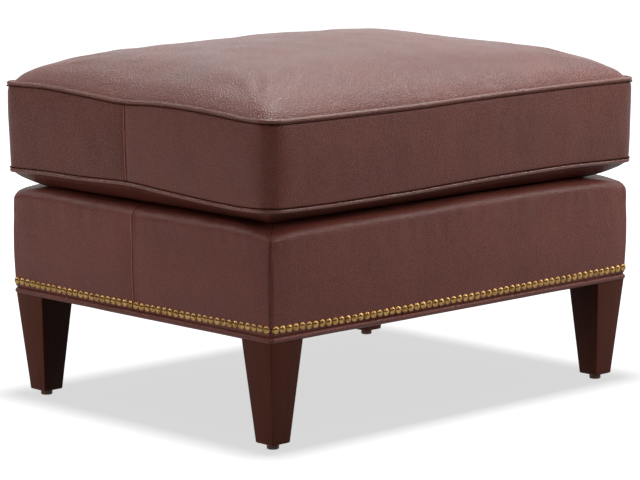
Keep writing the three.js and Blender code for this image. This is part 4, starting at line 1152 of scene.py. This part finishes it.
tape = primitive("zip_tape", bpy.ops.mesh.primitive_grid_add, x_subdivisions=100, y_subdivisions=4, size=1)
tape_long, tape_wide = ZIP_LENGTH - 0.0006, ZIP_SLOT - 0.0006
reshape(tape, lambda co: Vector((co.x * tape_long, zip_face(co.x * tape_long), ZIP_Z + co.y * tape_wide)))
if tape.data.polygons[0].normal.y < 0:
    tape.data.flip_normals()
modify(tape, "SOLIDIFY", thickness=ZIP_TAPE, offset=-1)
smooth(tape, 40)
dress(tape_weave, tape)
finished(tape, "cushion", "zip_tape", "zip_chain")

TOOTH_PITCH = 0.0025
tooth_rows = []
for sign in (-1, 1):
    row_start = -ZIP_LENGTH / 2 + 0.006 + (0 if sign < 0 else TOOTH_PITCH / 2)
    row = block(f"teeth_{sign}", (row_start, -0.0002, ZIP_Z + sign * 0.0009 - 0.0014),
                (row_start + 0.0013, 0.0005, ZIP_Z + sign * 0.0009 + 0.0014))
    modify(row, "BEVEL", width=0.00025, segments=1)
    modify(row, "ARRAY", count=183, use_relative_offset=False, use_constant_offset=True,
           constant_offset_displace=(TOOTH_PITCH, 0, 0))
    tooth_rows.append(row)
for name, x in (("start", -ZIP_LENGTH / 2 + 0.0025), ("end", ZIP_LENGTH / 2 - 0.0025)):
    stop = block(f"stop_{name}", (x - 0.0014, -0.0002, ZIP_Z - 0.003), (x + 0.0014, 0.0006, ZIP_Z + 0.003))
    modify(stop, "BEVEL", width=0.0003, segments=2)
    tooth_rows.append(stop)
teeth = joined(tooth_rows, "zip_teeth")
reshape(teeth, lambda co: Vector((co.x, co.y + zip_face(co.x), co.z)))
dress(zip_brass, teeth)
finished(teeth, "cushion", "antique_brass")

path = rounded_path(ZIP_LENGTH / 2 + 0.0035, ZIP_SLOT / 2 + 0.0018, [0.003] * 4)
edging = piping("zip_edging", [
    Vector((point.x, zip_face(point.x) + 0.0002, ZIP_Z + point.y)) for point in path], 0.0019, sides=8)
dress(coarse_leather, edging)
finished(edging, "cushion", "leather")

for node_name, name, body in (("zip_slider", "zip_slider_cast", "zip_slider"),
                              ("zip_pull", "zip_pull_tag", "zip_pull")):
    cast = copy_of(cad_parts[node_name], name)
    open_edit(cast, whole=True)
    bpy.ops.mesh.remove_doubles(threshold=MERGE_DISTANCE)
    bpy.ops.mesh.dissolve_limited(angle_limit=math.radians(2))
    close_edit()
    modify(cast, "BEVEL", width=0.00022, segments=2, limit_method="ANGLE", angle_limit=math.radians(40))
    smooth(cast, 40)
    dress(zip_brass, cast)
    finished(cast, body, "antique_brass", node_name)


# CAD parts that stay as they are

for start, material in (("rail_", rail_wood), ("rail_left", side_rail_wood), ("rail_right", side_rail_wood),
                        ("corner_block_", block_wood), ("leg_bolt_", zinc_steel), ("leg_nut_", zinc_steel),
                        ("spring_", spring_steel), ("spring_clip_", zinc_steel), ("deck_insulator", felt)):
    dress(material, *(node for name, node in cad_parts.items() if name.startswith(start)))
